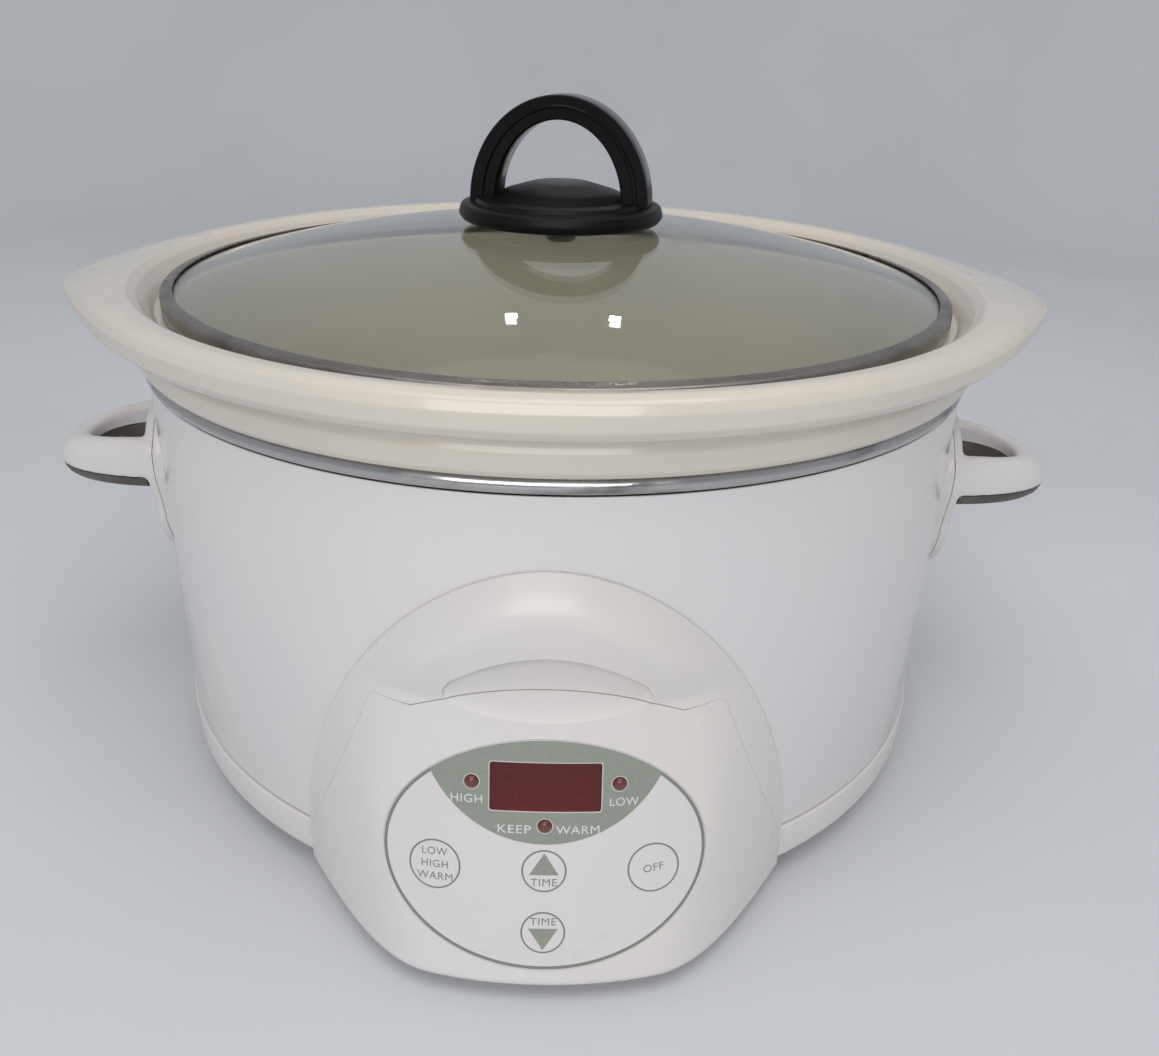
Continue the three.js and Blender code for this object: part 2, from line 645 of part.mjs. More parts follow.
// The thumb scoop: a lens across the seam whose floor carries the lower face on up under the hood.
function scoop() {
  const halfWidth = SCOOP_HALF_WIDTH;
  const lower = (x) => SCOOP_BOTTOM + 0.0046 * x ** 2;
  const upper = (x) => SCOOP_TOP - 0.0139 * x ** 2;
  const outline = [];
  const steps = 8;
  for (let i = 0; i <= steps; i++) {
    const x = halfWidth * ((2 * i) / steps - 1);
    outline.push([x, lower(x)]);
  }
  for (let i = steps; i >= 0; i--) {
    const x = halfWidth * ((2 * i) / steps - 1);
    outline.push([x, upper(x)]);
  }
  const floor = (x, z) => {
    const along = clamp((z - lower(x)) / SCOOP_RUN_IN, 0, 1);
    const line = POD_FRONT - FACE_SLOPE * (z - POD_BOTTOM) - faceDrop(x);
    return [x, -(line - SCOOP_DISH * along * (2 - along) + 0.1), z];
  };
  const outside = (x, z) => [x, -(HOOD_FRONT + 20), z];
  return solid(patch(outline, [0, 92], [0.5, 0.8, 1], outside, floor));
}

function hoodScrewPlaces() {
  return [-HOOD_SCREW.x, HOOD_SCREW.x].map((x) => [x, HOOD_SCREW.z]);
}

// Turns a shape drawn in the face's own plane into place on the pod.
function onFace(body) {
  const lean = 90 - THREE.MathUtils.radToDeg(FACE_LEAN);
  const depth = POD_FRONT - FACE_SLOPE * (FACE_CENTRE_HEIGHT - POD_BOTTOM);
  return body.rotate([lean, 0, 0]).translate([0, -depth, FACE_CENTRE_HEIGHT]);
}

// Height of the curved face above the flat plane of the face at x.
function faceLevel(x) {
  return -faceDrop(x) * Math.cos(FACE_LEAN);
}

// A slab on the face between two levels, following its curve at the front and, if bent, at the back.
function faceSlab(outline, centre, rings, back, front, bent = true) {
  const low = (x, v) => [x, v, back + (bent ? faceLevel(x) : 0)];
  const high = (x, v) => [x, v, front + faceLevel(x)];
  return solid(patch(outline, centre, rings, low, high));
}

function windowOutline(grow) {
  const halfWidth = WINDOW_SIZE[0] / 2 + grow;
  const halfHeight = WINDOW_SIZE[1] / 2 + grow;
  const outline = [];
  const steps = 4;
  for (let i = 0; i <= steps; i++) outline.push([halfWidth * ((2 * i) / steps - 1), WINDOW_V - halfHeight]);
  for (let i = steps; i >= 0; i--) outline.push([halfWidth * ((2 * i) / steps - 1), WINDOW_V + halfHeight]);
  return outline;
}

function faceHoles() {
  const through = (radius, x, v, facets) => rod(radius, [x, v, -20], [0, 0, 1], 40, facets);
  const holes = Object.values(BUTTONS).map(({ x, v, radius }) => through(radius + GAP, x, v, MEDIUM));
  for (const [x, v] of Object.values(LED_PLACES)) holes.push(through(LED_RADIUS + GAP, x, v, FINE));
  holes.push(faceSlab(windowOutline(GAP), [0, WINDOW_V], [1], -20, 10, false));
  return holes;
}

function boardScrewPlaces() {
  return [[-BOARD_SCREW.x, BOARD_SCREW.v], [BOARD_SCREW.x, -BOARD_SCREW.v]];
}

const OUTER_RINGS = [0.4, 0.66, 0.8, 0.89, 0.95, 1];
const INNER_RINGS = [0.48, 0.7, 0.86, 1];

function makePod() {
  const outer = podSolid(0, POD_BOTTOM, POD_BACK, OUTER_RINGS);
  const thumbScoop = scoop();
  // The wall goes on behind the scoop at its full thickness.
  const hollow = podSolid(POD_WALL, POD_FLOOR, CAVITY_BACK, INNER_RINGS);
  const cavity = cut(hollow, thumbScoop.translate([0, POD_WALL, 0]));
  const overWrap = drum(WRAP_RADIUS + GAP, SKIRT_TOP - 0.05, 200);

  const skirt = turned([
    [FLANGE_INNER_RADIUS, SKIRT_BOTTOM], [SKIRT_RADIUS - 3, SKIRT_BOTTOM],
    [SKIRT_RADIUS - 0.9, SKIRT_BOTTOM + 0.9], [SKIRT_RADIUS, SKIRT_BOTTOM + 3],
    [SKIRT_RADIUS, SKIRT_TOP], [SKIRT_RADIUS - 4, SKIRT_TOP],
    [SKIRT_RADIUS - 4, FLANGE_TOP], [FLANGE_INNER_RADIUS, FLANGE_TOP],
  ]);
  const lowerPod = outer.intersect(seamPrism(0));
  const inSkirt = drum(SKIRT_RADIUS - SKIRT_WALL, FLANGE_TOP, 40);
  const posts = boardScrewPlaces().map(([x, v]) =>
    onFace(rod(2.8, [x, v, BOARD_FRONT + GAP], [0, 0, 1], 6.5, FINE)).intersect(outer));
  const ribs = [-22, 22].map((x) =>
    block([x - 1.5, -153, POD_FLOOR - 1], [x + 1.5, -146, POWER_BOARD.bottom - GAP]));
  const recess = onFace(faceSlab(
    ellipse(OVERLAY_HALF_WIDTH + GAP, OVERLAY_HALF_HEIGHT + GAP, OVERLAY_FACETS), [0, 0], [0.45, 0.75, 1],
    -OVERLAY_THICKNESS - GAP, 6));
  const housing = cut(
    join(cut(join(skirt, lowerPod), inSkirt, cavity), ...posts, ...ribs),
    overWrap,
    thumbScoop,
    recess,
    ...faceHoles().map(onFace),
    ...boardScrewPlaces().map(([x, v]) => onFace(rod(1.3, [x, v, -12], [0, 0, 1], 6.8))),
    ...footPlaces().map(([x, y]) => rod(FOOT_STEM_RADIUS + GAP, [x, y, 0], [0, 0, 1], 20)),
    ...baseScrewPlaces().map(([x, y]) => rod(BASE_SCREW_HOLE_RADIUS, [x, y, 0], [0, 0, 1], 20)),
    rod(GLAND_RADIUS + GAP, [0, 120, GLAND_HEIGHT], [0, 1, 0], 50));
  base.add(mesh("base_housing", mainBody(housing), whitePlastic));

  const bosses = hoodScrewPlaces().map(([x, z]) => rod(4.2, [x, -130, z], [0, -1, 0], 40).intersect(outer));
  const hood = cut(
    join(cut(outer, cavity, seamPrism(GAP)), ...bosses),
    drum(WRAP_RADIUS + GAP, 0, 200),
    thumbScoop,
    ...hoodScrewPlaces().map(([x, z]) => rod(SHANK_HOLE_RADIUS, [x, -130, z], [0, -1, 0], 19.6)));
  base.add(mesh("control_hood", mainBody(hood), whitePlastic));
  hoodScrewPlaces().forEach(([x, z], i) => {
    const start = Math.sqrt((WRAP_RADIUS - SHEET) ** 2 - x ** 2) - 0.8;
    const side = ["left", "right"][i];
    base.add(mesh(`hood_screw_${side}`, screw([x, -start, z], [0, -1, 0], 6.2, 2.9), bareSteel));
  });
}

function makeControls() {
  const overlay = cut(
    faceSlab(ellipse(OVERLAY_HALF_WIDTH, OVERLAY_HALF_HEIGHT, OVERLAY_FACETS), [0, 0],
      [0.45, 0.75, 1], -OVERLAY_THICKNESS, 0),
    ...faceHoles());
  base.add(mesh("panel_overlay", onFace(overlay), overlayFilm));

  const pane = faceSlab(windowOutline(0), [0, WINDOW_V], [0.5, 1], -WINDOW_THICKNESS, 0, false);
  base.add(mesh("display_window", onFace(pane), redAcrylic));

  const onBoard = BOARD_FRONT + GAP;
  const module = block([-15, WINDOW_V - 6.7, onBoard], [15, WINDOW_V + 6.7, -WINDOW_THICKNESS - GAP]);
  base.add(mesh("led_display", onFace(module), blackEpoxy));

  for (const [name, [x, v]] of Object.entries(LED_PLACES)) {
    const top = faceLevel(x);
    const lamp = turned([
      [0, onBoard], [LED_RADIUS, onBoard], [LED_RADIUS, top - 0.4], [LED_RADIUS * 0.87, top + 0.3],
      [LED_RADIUS * 0.5, top + 0.9], [0, top + 1.1],
    ], FINE);
    base.add(mesh(`led_${name}`, onFace(lamp.translate([x, v, 0])), clearEpoxy));
  }

  const [halfWidth, halfHeight] = BOARD_HALF_SIZE;
  const board = cut(
    block([-halfWidth, -halfHeight, BOARD_FRONT - BOARD_THICKNESS], [halfWidth, halfHeight, BOARD_FRONT]),
    ...boardScrewPlaces().map(([x, v]) => rod(1.3, [x, v, -20], [0, 0, 1], 20)));
  base.add(mesh("control_board", onFace(board), circuitBoard));
  boardScrewPlaces().forEach(([x, v], i) => {
    const start = BOARD_FRONT - BOARD_THICKNESS - GAP;
    const body = screw([x, v, start], [0, 0, 1], 5.2, 2.2, 1);
    base.add(mesh(`board_screw_${["left", "right"][i]}`, onFace(body), bareSteel));
  });

  for (const [name, { x, v }] of Object.entries(BUTTONS)) {
    const half = 3;
    const body = join(
      block([x - half, v - half, onBoard], [x + half, v + half, onBoard + 1.5]),
      rod(1.7, [x, v, onBoard + 1], [0, 0, 1], 1.2, FINE));
    base.add(mesh(`switch_${name}`, onFace(body), blackEpoxy));
  }
}

const POWER_BOARD = { halfWidth: 27, bottom: 12.5, top: 37, front: 148.8, back: 147.2 };

function makePowerBoard() {
  const { halfWidth, bottom, top, front, back } = POWER_BOARD;
  base.add(mesh("power_board", block([-halfWidth, -front, bottom], [halfWidth, -back, top]), circuitBoard));
  const seat = front + GAP;
  base.add(mesh("power_relay", block([-14, -seat - 6.6, 14], [1, -seat, 25]), relayBlue));
  base.add(mesh("power_capacitor", rod(3, [11, -seat, 20], [0, -1, 0], 6.6, MEDIUM), blackEpoxy));
  for (const [side, sign] of [["left", -1], ["right", 1]]) {
    const route = new THREE.CatmullRomCurve3([
      new THREE.Vector3(sign * 18, -139.2, HEATER_BOTTOM - GAP),
      new THREE.Vector3(sign * 18, -139.4, 35.5),
      new THREE.Vector3(sign * 17.5, -141.6, 31.5),
      new THREE.Vector3(sign * 17, -back + GAP, 30),
    ]);
    const section = new THREE.Shape().absarc(0, 0, 1.1, 0, 2 * Math.PI);
    const lead = new THREE.ExtrudeGeometry(section, { steps: 8, curveSegments: 4, extrudePath: route });
    base.add(mesh(`heater_lead_${side}`, solid(lead), leadSleeve));
  }
}

// ---------------------------------------------------------------- moving bodies

function makeButtons() {
  return Object.entries(BUTTONS).map(([name, { x, v, radius }]) => {
    const pad = faceSlab(ellipse(radius, radius, MEDIUM, x, v), [x, v], [0.5, 1], BUTTON_BACK, 0, false);
    return mesh(`button_${name}`, onFace(pad), overlayFilm);
  });
}

function lugReach(x, y) {
  const degrees = THREE.MathUtils.radToDeg(Math.atan2(Math.abs(y), Math.abs(x)));
  return 1 / (1 + (degrees / LUG_SPREAD) ** 2);
}

// The rim band is pulled out into a lug on each side, and its top falls towards the tip.
function pullLugs(geometry) {
  const position = geometry.getAttribute("position");
  for (let i = 0; i < position.count; i++) {
    const [x, y, z] = [position.getX(i), position.getY(i), position.getZ(i)];
    const radius = Math.hypot(x, y);
    const share = clamp((radius - LUG_ROOT) / (RIM_RADIUS - LUG_ROOT), 0, 1);
    if (!share) continue;
    const reach = share * lugReach(x, y);
    const stretch = 1 + (LUG_REACH * reach) / radius;
    const height = (z - RIM_UNDERSIDE) / (RIM_TOP - RIM_UNDERSIDE);
    position.setXYZ(i, x * stretch, y * stretch, z - LUG_DROOP * reach * clamp(height, 0, 1));
  }
  return geometry;
}

function makeCrock() {
  const shoulder = BEAD_CENTRE[1] + BEAD_RADIUS + GAP;
  const profile = revolved([
    [0, 24.5], [118, 24.5], [129, 31], [132, 45], [135, shoulder],
    [146.4, shoulder], [147.8, 153.4], [147.8, 158.5], [146.4, 161.2],
    [153.6, RIM_UNDERSIDE], [RIM_RADIUS, 167], [RIM_RADIUS, 171.5], [153.8, 174.6], [151.2, RIM_TOP],
    [148, 175.3], [145, 172.8], [140.5, LEDGE_HEIGHT], [132, LEDGE_HEIGHT],
    [127.5, 48], [121, 36], [110, 32], [0, 32],
  ]);
  return mesh("stoneware_crock", solid(pullLugs(profile)), stoneware);
}

function domeHeight(radius) {
  const sphere = (GLASS_RADIUS ** 2 + DOME_RISE ** 2) / (2 * DOME_RISE);
  return GLASS_EDGE_TOP + DOME_RISE - sphere + Math.sqrt(sphere ** 2 - radius ** 2);
}

function makeLid() {
  const lid = new THREE.Group();
  const apex = GLASS_EDGE_TOP + DOME_RISE;
  const radii = [0, 14, 62, 105, GLASS_RADIUS];
  const outside = radii.map((radius) => [radius, domeHeight(radius)]);
  const inside = radii.map((radius) => [radius, domeHeight(radius) - GLASS_THICKNESS]).reverse();
  const glass = cut(turned([...outside, ...inside]), rod(3, [0, 0, 170], [0, 0, 1], 30));
  lid.add(mesh("lid_glass", glass, clearGlass));

  const bandBottom = LEDGE_HEIGHT + GAP;
  const bandTop = GLASS_EDGE_TOP + GAP;
  const lipRadius = GLASS_RADIUS - 3;
  const lipRise = domeHeight(lipRadius) - GLASS_EDGE_TOP;
  const band = turned([
    [lipRadius, bandBottom], [BAND_RADIUS, bandBottom], [BAND_RADIUS, bandTop + 0.8],
    [lipRadius, bandTop + lipRise + 0.8], [lipRadius, bandTop + lipRise],
    [GLASS_RADIUS + GAP, bandTop], [GLASS_RADIUS + GAP, bandBottom + 0.7], [lipRadius, bandBottom + 0.7],
  ]);
  lid.add(mesh("lid_rim_band", band, bareSteel));

  const disc = turned([
    [0, KNOB_BOTTOM], [31, KNOB_BOTTOM], [34.8, 191.2],
    [KNOB_RADIUS, 193.6], [35.6, 196.8], [33, 197.4], [26, 197.2], [20, 201.4], [10, 204.2],
    [0, 205],
  ], 28);
  const arch = new THREE.Shape();
  arch.absellipse(0, ARCH_BASE, ARCH_HALF_WIDTH, ARCH_HEIGHT, 0, Math.PI, false);
  arch.lineTo(-ARCH_HALF_WIDTH, ARCH_BASE - 3);
  arch.lineTo(-ARCH_HALF_WIDTH + ARCH_BAND_SIDE, ARCH_BASE - 3);
  arch.absellipse(0, ARCH_BASE, ARCH_HALF_WIDTH - ARCH_BAND_SIDE, ARCH_HEIGHT - ARCH_BAND_TOP,
    Math.PI, 0, true);
  arch.lineTo(ARCH_HALF_WIDTH - ARCH_BAND_SIDE, ARCH_BASE - 3);
  arch.lineTo(ARCH_HALF_WIDTH, ARCH_BASE - 3);
  const bevel = 2;
  const bow = new THREE.ExtrudeGeometry(arch, {
    depth: ARCH_DEPTH - 2 * bevel, curveSegments: 14,
    bevelThickness: bevel, bevelSize: bevel, bevelOffset: -bevel, bevelSegments: 1,
  });
  bow.rotateX(Math.PI / 2).translate(0, ARCH_DEPTH / 2 - bevel, 0);
  const knobHole = rod(2.5, [0, 0, 180], [0, 0, 1], 22.5);
  lid.add(mesh("lid_knob", cut(join(disc, solid(bow)), knobHole), blackPlastic));

  lid.add(mesh("knob_gasket", ringOf(3, 13, apex + GAP, KNOB_BOTTOM - GAP, MEDIUM), rubber));
  const washerTop = apex - GLASS_THICKNESS - GAP - 0.1;
  lid.add(mesh("knob_washer", ringOf(3, 10, washerTop - 1.2, washerTop, MEDIUM), rubber));
  const seat = washerTop - 1.2 - GAP;
  lid.add(mesh("knob_screw", screw([0, 0, seat], [0, 0, 1], 17, 6, 2.1), bareSteel));
  lid.rotation.z = THREE.MathUtils.degToRad(LID_TURN);
  return lid;
}

// ---------------------------------------------------------------- assembly

makeBase();
makeWrap();
makeGland();
makeHandles();
makePod();
makeControls();
makePowerBoard();

const model = new THREE.Group();
model.add(base, makeCrock(), makeLid(), ...makeButtons());
const exact = true;
const bounds = new THREE.Box3().setFromObject(model, exact);
model.position.y = -(bounds.min.y + bounds.max.y) / 2;

const group = new THREE.Group();
group.add(model);

export default group;
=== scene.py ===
import math
from math import acos, asin, atan, atan2, copysign, cos, hypot, pi, radians, sin, sqrt, tan

import bmesh
import bpy
from mathutils import Matrix, Vector


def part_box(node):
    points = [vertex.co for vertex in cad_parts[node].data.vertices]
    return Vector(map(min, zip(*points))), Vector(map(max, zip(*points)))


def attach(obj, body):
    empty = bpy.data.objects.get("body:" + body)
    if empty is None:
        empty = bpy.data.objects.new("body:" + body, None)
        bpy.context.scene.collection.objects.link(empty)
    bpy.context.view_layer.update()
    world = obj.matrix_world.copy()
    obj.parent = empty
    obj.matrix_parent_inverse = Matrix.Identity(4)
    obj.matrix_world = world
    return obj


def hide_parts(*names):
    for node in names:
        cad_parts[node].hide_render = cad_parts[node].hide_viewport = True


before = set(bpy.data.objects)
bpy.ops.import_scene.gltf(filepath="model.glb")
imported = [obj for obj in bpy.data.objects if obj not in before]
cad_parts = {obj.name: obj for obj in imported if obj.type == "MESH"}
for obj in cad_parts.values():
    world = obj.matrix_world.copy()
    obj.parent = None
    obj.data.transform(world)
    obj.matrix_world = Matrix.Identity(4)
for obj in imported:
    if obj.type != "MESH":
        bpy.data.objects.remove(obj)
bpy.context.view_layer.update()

MM = 0.001

# ---- places from the frame


def node_centre(node):
    low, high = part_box(node)
    return (low + high) / 2


AXIS = Vector((node_centre("outer_wrap").x, node_centre("outer_wrap").y, 0))


def reach(node):
    """Lowest and highest corner of a CAD node, in millimetres about the cooker's axis."""
    low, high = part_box(node)
    return (low - AXIS) / MM, (high - AXIS) / MM


def top_of(node):
    return reach(node)[1].z


def bottom_of(node):
    return reach(node)[0].z


# ---- driving dimensions, millimetres

GAP = 0.3
SHEET = 0.8
UP = (0, 0, 1)
FULL_TURN = 2 * pi
ROUND = 288  # facets round the large rings
MEDIUM = 96  # facets round knobs, pads and lamps
SMALL = 48  # facets round screws

WRAP_RADIUS = reach("outer_wrap")[1].x
WRAP_BOTTOM = bottom_of("outer_wrap")
WRAP_TOP = top_of("outer_wrap")
SKIRT_RADIUS = WRAP_RADIUS + 1
SKIRT_BOTTOM = 8
SKIRT_TOP = WRAP_BOTTOM - GAP
FLANGE_INNER_RADIUS = 112
FLANGE_TOP = 10.5
SCREW_RING = 118
SCREW_ANGLES = (90, 210, 330)
SCREW_HOLE = 2.2
FOOT_RING = 125
FOOT_ANGLES = (45, 135, 225, 315)
STEM_HOLE = 3.7
BOLT_HOLE = 2.6
CORD_HEIGHT = 16.5
LINER_RADIUS = reach("heating_liner")[1].x - 2.9
LINER_FLOOR = bottom_of("heating_liner")
RING_RADIUS = reach("rim_ring")[1].x
RING_TOP = top_of("rim_ring")
BEAD_RADIUS = 2.5

CROCK_TOP = top_of("stoneware_crock")
RIM_RADIUS = 155
RIM_UNDERSIDE = CROCK_TOP - 11.2
LUG_REACH = 23
LUG_SPREAD = 16
LUG_DROOP = 5.5
LUG_ROOT = 148

GLASS_RADIUS = 137
GLASS_THICKNESS = 4
DOME_RISE = 19
GLASS_APEX = top_of("lid_glass")
GLASS_EDGE_TOP = GLASS_APEX - DOME_RISE
LEDGE_HEIGHT = GLASS_EDGE_TOP - 5.3
BAND_RADIUS = GLASS_RADIUS + 1.2
LID_TURN = radians(-11)
KNOB_RADIUS = 36.6
KNOB_BOTTOM = bottom_of("lid_knob") + 1
ARCH_BASE = 197
ARCH_HALF_WIDTH = 32
ARCH_HEIGHT = top_of("lid_knob") - ARCH_BASE
ARCH_BAND_SIDE = 9.5
ARCH_BAND_TOP = 8
ARCH_HALF_DEPTH = 8

HANDLE_REACH = reach("handle_right_shell")[1].x
HANDLE_HALF_WIDTH = 28
HANDLE_ROOT = 148
HOLE_START = 154.5
HOLE_END = 180.5
HOLE_HALF_WIDTH = 20.5
GRIP_BOTTOM = bottom_of("handle_right_grip")
GRIP_TOP = 97.7
GRIP_LIP_TOP = top_of("handle_right_grip")
GRIP_LIP = 2
HANDLE_TOP = 112.8
HANDLE_TOP_FALL = 6.5
ESCUTCHEON_FACE = 152.5
ESCUTCHEON_BACKING = 148.9
ESCUTCHEON_TOP = top_of("handle_right_shell")
ESCUTCHEON_BOTTOM = bottom_of("handle_right_shell")
ESCUTCHEON_TOP_RADIUS = 28
ESCUTCHEON_BOTTOM_RADIUS = 24

POD_BOTTOM = 5
POD_FLOOR = 7.4
POD_FRONT = 174.3
POD_CENTRE = 15  # height at which the arched outline is widest
POD_TOP = 125
POD_HALF_WIDTH = 76
POD_ARCH_POWER = 1.9
POD_DRAFT = 1.5  # depth gained per unit of distance in from the outline, at the foot
POD_DRAFT_FALL = 0.72  # how much less it is at the top
POD_EDGE = 1
POD_SOFTNESS = 5.5
POD_FOOT_SOFTNESS = 18
HOOD_SOFTNESS = 3.2
POD_FOOT_RADIUS = 2.5
POD_WALL = 2.2
POD_BACK = 120
CAVITY_BACK = 125
FACE_WALL = 3.2
FACE_SLOPE = 0.287
FACE_LEAN = atan(FACE_SLOPE)
HOOD_FRONT = 153
HOOD_BULGE_HEIGHT = 108
SEAM_HEIGHT = 90.3
SEAM_ARC_HALF = 38
SEAM_ARC_FALL = 0.0053
SEAM_SHOULDER = (50, 83.4)
SEAM_FOOT = 75
SEAM_SIDE_GAP = 0.03
SCOOP_HALF_WIDTH = 28.8
SCOOP_CORNER = 2.6

FACE_CENTRE_HEIGHT = 44
OVERLAY_HALF_WIDTH = 46.3
OVERLAY_HALF_HEIGHT = 34.5
OVERLAY_THICKNESS = 0.5
FILM_GAP = 0.1
WINDOW_HALF_WIDTH = 15.5
WINDOW_HALF_HEIGHT = 7
WINDOW_V = 20.6
WINDOW_THICKNESS = 2.9
LED_RADIUS = 2
LEDS = {"high": (-20.6, 21.5), "low": (20.6, 21.5), "keep_warm": (0, 9.2)}
BUTTONS = {
    "mode": (-31, -4.2, 7.35),
    "time_up": (0, -4.2, 6.25),
    "time_down": (0, -22.9, 6.25),
    "off": (31, -4.2, 7.35),
}
BUTTON_BACK = -5.9
BOARD_FACE = -8.7
INK_BACK = -0.03
INK_FRONT = 0.04
LINE_WIDTH = 0.38


# ---- mesh helpers


def mesh_from(vertices, faces):
    """A closed mesh in millimetres, with its faces pointing out."""
    mesh = bpy.data.meshes.new("part")
    mesh.from_pydata([tuple(v) for v in vertices], [], faces)
    return tidied(mesh)


def tidied(mesh, merge=1e-4):
    work = bmesh.new()
    work.from_mesh(mesh)
    bmesh.ops.remove_doubles(work, verts=work.verts, dist=merge)
    bmesh.ops.dissolve_degenerate(work, edges=work.edges, dist=merge)
    bmesh.ops.recalc_face_normals(work, faces=work.faces)
    work.to_mesh(mesh)
    work.free()
    return mesh


def moved(mesh, matrix):
    mesh.transform(matrix)
    return mesh


def linked(name, data):
    """A new object in the scene."""
    made = bpy.data.objects.new(name, data)
    bpy.context.collection.objects.link(made)
    return made


def baked(holder, *others):
    """The holder's mesh with its modifiers applied; it and the other objects are then removed."""
    graph = bpy.context.evaluated_depsgraph_get()
    result = bpy.data.meshes.new_from_object(holder.evaluated_get(graph))
    for used in (holder, *others):
        bpy.data.objects.remove(used)
    return result


def combine(mesh, operation, *tools):
    """The mesh after a Boolean with each tool in turn: UNION, DIFFERENCE or INTERSECT."""
    target = linked("target", mesh)
    helpers = [linked("tool", tool) for tool in tools]
    for helper in helpers:
        step = target.modifiers.new("step", "BOOLEAN")
        step.operation = operation
        step.object = helper
        step.solver = "MANIFOLD"
    return baked(target, *helpers)


def union(mesh, *tools):
    return combine(mesh, "UNION", *tools)


def cut(mesh, *tools):
    return combine(mesh, "DIFFERENCE", *tools)


def common(mesh, *tools):
    return combine(mesh, "INTERSECT", *tools)


def softened(mesh, voxel, passes, factor=0.5):
    """The mesh remeshed on a fine grid and smoothed, so that its joints flow and its edges are round."""
    holder = linked("soft", mesh)
    remesh = holder.modifiers.new("remesh", "REMESH")
    remesh.mode = "VOXEL"
    remesh.voxel_size = voxel
    smooth = holder.modifiers.new("smooth", "SMOOTH")
    smooth.factor = factor
    smooth.iterations = passes
    return baked(holder)


def main_body(mesh):
    """The largest of the mesh's separate bodies, without the slivers that crossing cuts can leave."""
    work = bmesh.new()
    work.from_mesh(mesh)
    left = set(work.verts)
    islands = []
    while left:
        island = {left.pop()}
        edge = list(island)
        while edge:
            near = {e.other_vert(v) for v in edge for e in v.link_edges} - island
            island |= near
            edge = list(near)
        left -= island
        islands.append(island)
    biggest = max(islands, key=len)
    bmesh.ops.delete(work, geom=[v for v in work.verts if v not in biggest], context="VERTS")
    work.to_mesh(mesh)
    work.free()
    return mesh


def rounded(corners, closed=True, steps=6):
    """Outline through (x, y, radius) corners, each corner turned into an arc of that radius."""
    points = []
    last = len(corners) - 1
    for i, (x, y, radius) in enumerate(corners):
        corner = Vector((x, y))
        if not radius or (not closed and i in (0, last)):
            points.append(tuple(corner))
            continue
        before = Vector(corners[i - 1][:2]) - corner
        after = Vector(corners[(i + 1) % len(corners)][:2]) - corner
        half = before.angle(after) / 2
        setback = min(radius / tan(half), 0.49 * before.length, 0.49 * after.length)
        middle = (before.normalized() + after.normalized()).normalized()
        centre = corner + middle * (setback / cos(half))
        start = corner + before.normalized() * setback - centre
        end = corner + after.normalized() * setback - centre
        sweep = start.angle(end)
        for t in fractions(steps):
            arm = (start * sin((1 - t) * sweep) + end * sin(t * sweep)) / sin(sweep)
            points.append(tuple(centre + arm))
    return points


def bands(pairs):
    """Faces between pairs of vertex rows that run round; rows that meet at a point give triangles."""
    faces = []
    for low, high in pairs:
        for k in range(len(low)):
            n = (k + 1) % len(low)
            corners = [low[k], low[n], high[n], high[k]]
            face = [c for j, c in enumerate(corners) if c != corners[j - 1]]
            if len(face) > 2:
                faces.append(face)
    return faces


def even_rows(count, size):
    return [range(k * size, (k + 1) * size) for k in range(count)]


def turned(profile, facets=ROUND, bend=None):
    """A closed (radius, height) profile turned about the Z axis; bend moves each point afterwards."""
    on_axis = profile[0][0] == 0 and profile[-1][0] == 0
    vertices = []
    rows = []
    for radius, height in profile:
        if radius == 0:
            rows.append([len(vertices)] * facets)
            vertices.append((0, 0, height))
            continue
        rows.append(list(range(len(vertices), len(vertices) + facets)))
        for k in range(facets):
            angle = FULL_TURN * k / facets
            vertices.append((radius * cos(angle), radius * sin(angle), height))
    if bend:
        vertices = [bend(*v) for v in vertices]
    following = rows[1:] if on_axis else rows[1:] + rows[:1]
    return mesh_from(vertices, bands(zip(rows, following)))


def lathe(corners, facets=ROUND, bend=None, steps=5):
    """Turned from (radius, height, fillet) corners; open at the axis when it starts and ends there."""
    on_axis = corners[0][0] == 0 and corners[-1][0] == 0
    return turned(rounded(corners, not on_axis, steps), facets, bend)


def drum(radius, bottom, top, facets=ROUND):
    return turned([(0, bottom), (radius, bottom), (radius, top), (0, top)], facets)


def towards(direction):
    return Vector(UP).rotation_difference(Vector(direction)).to_matrix().to_4x4()


def rod(radius, start, length, direction=UP):
    return moved(drum(radius, 0, length, SMALL), Matrix.Translation(start) @ towards(direction))


def block(low, high):
    corners = [(x, y, z) for x in (low[0], high[0]) for y in (low[1], high[1]) for z in (low[2], high[2])]
    faces = [(0, 1, 3, 2), (4, 5, 7, 6), (0, 1, 5, 4), (2, 3, 7, 6), (0, 2, 6, 4), (1, 3, 7, 5)]
    return mesh_from(corners, faces)


def prism(outline, bottom, top):
    """An upright prism over a plan outline."""
    count = len(outline)
    vertices = [(x, y, bottom) for x, y in outline] + [(x, y, top) for x, y in outline]
    sides = [(i, (i + 1) % count, count + (i + 1) % count, count + i) for i in range(count)]
    return mesh_from(vertices, sides + [tuple(range(count)), tuple(range(count, 2 * count))])


def slab(outline, centre, rings, low, high):
    """A slab between two surfaces over a star-shaped outline, meshed in rings about a centre."""
    count = len(outline)
    vertices = []
    for surface in (low, high):
        vertices.append(surface(*centre))
        for ring in rings:
            for a, b in outline:
                across = centre[0] + ring * (a - centre[0])
                along = centre[1] + ring * (b - centre[1])
                vertices.append(surface(across, along))
    side = 1 + len(rings) * count
    faces = []
    for start in (0, side):
        for i in range(count):
            n = (i + 1) % count
            faces.append((start, start + 1 + i, start + 1 + n))
            for ring in range(1, len(rings)):
                inner = start + 1 + (ring - 1) * count
                outer = inner + count
                faces.append((inner + i, outer + i, outer + n, inner + n))
    edge = 1 + (len(rings) - 1) * count
    for i in range(count):
        n = (i + 1) % count
        faces.append((edge + i, edge + n, side + edge + n, side + edge + i))
    return mesh_from(vertices, faces)


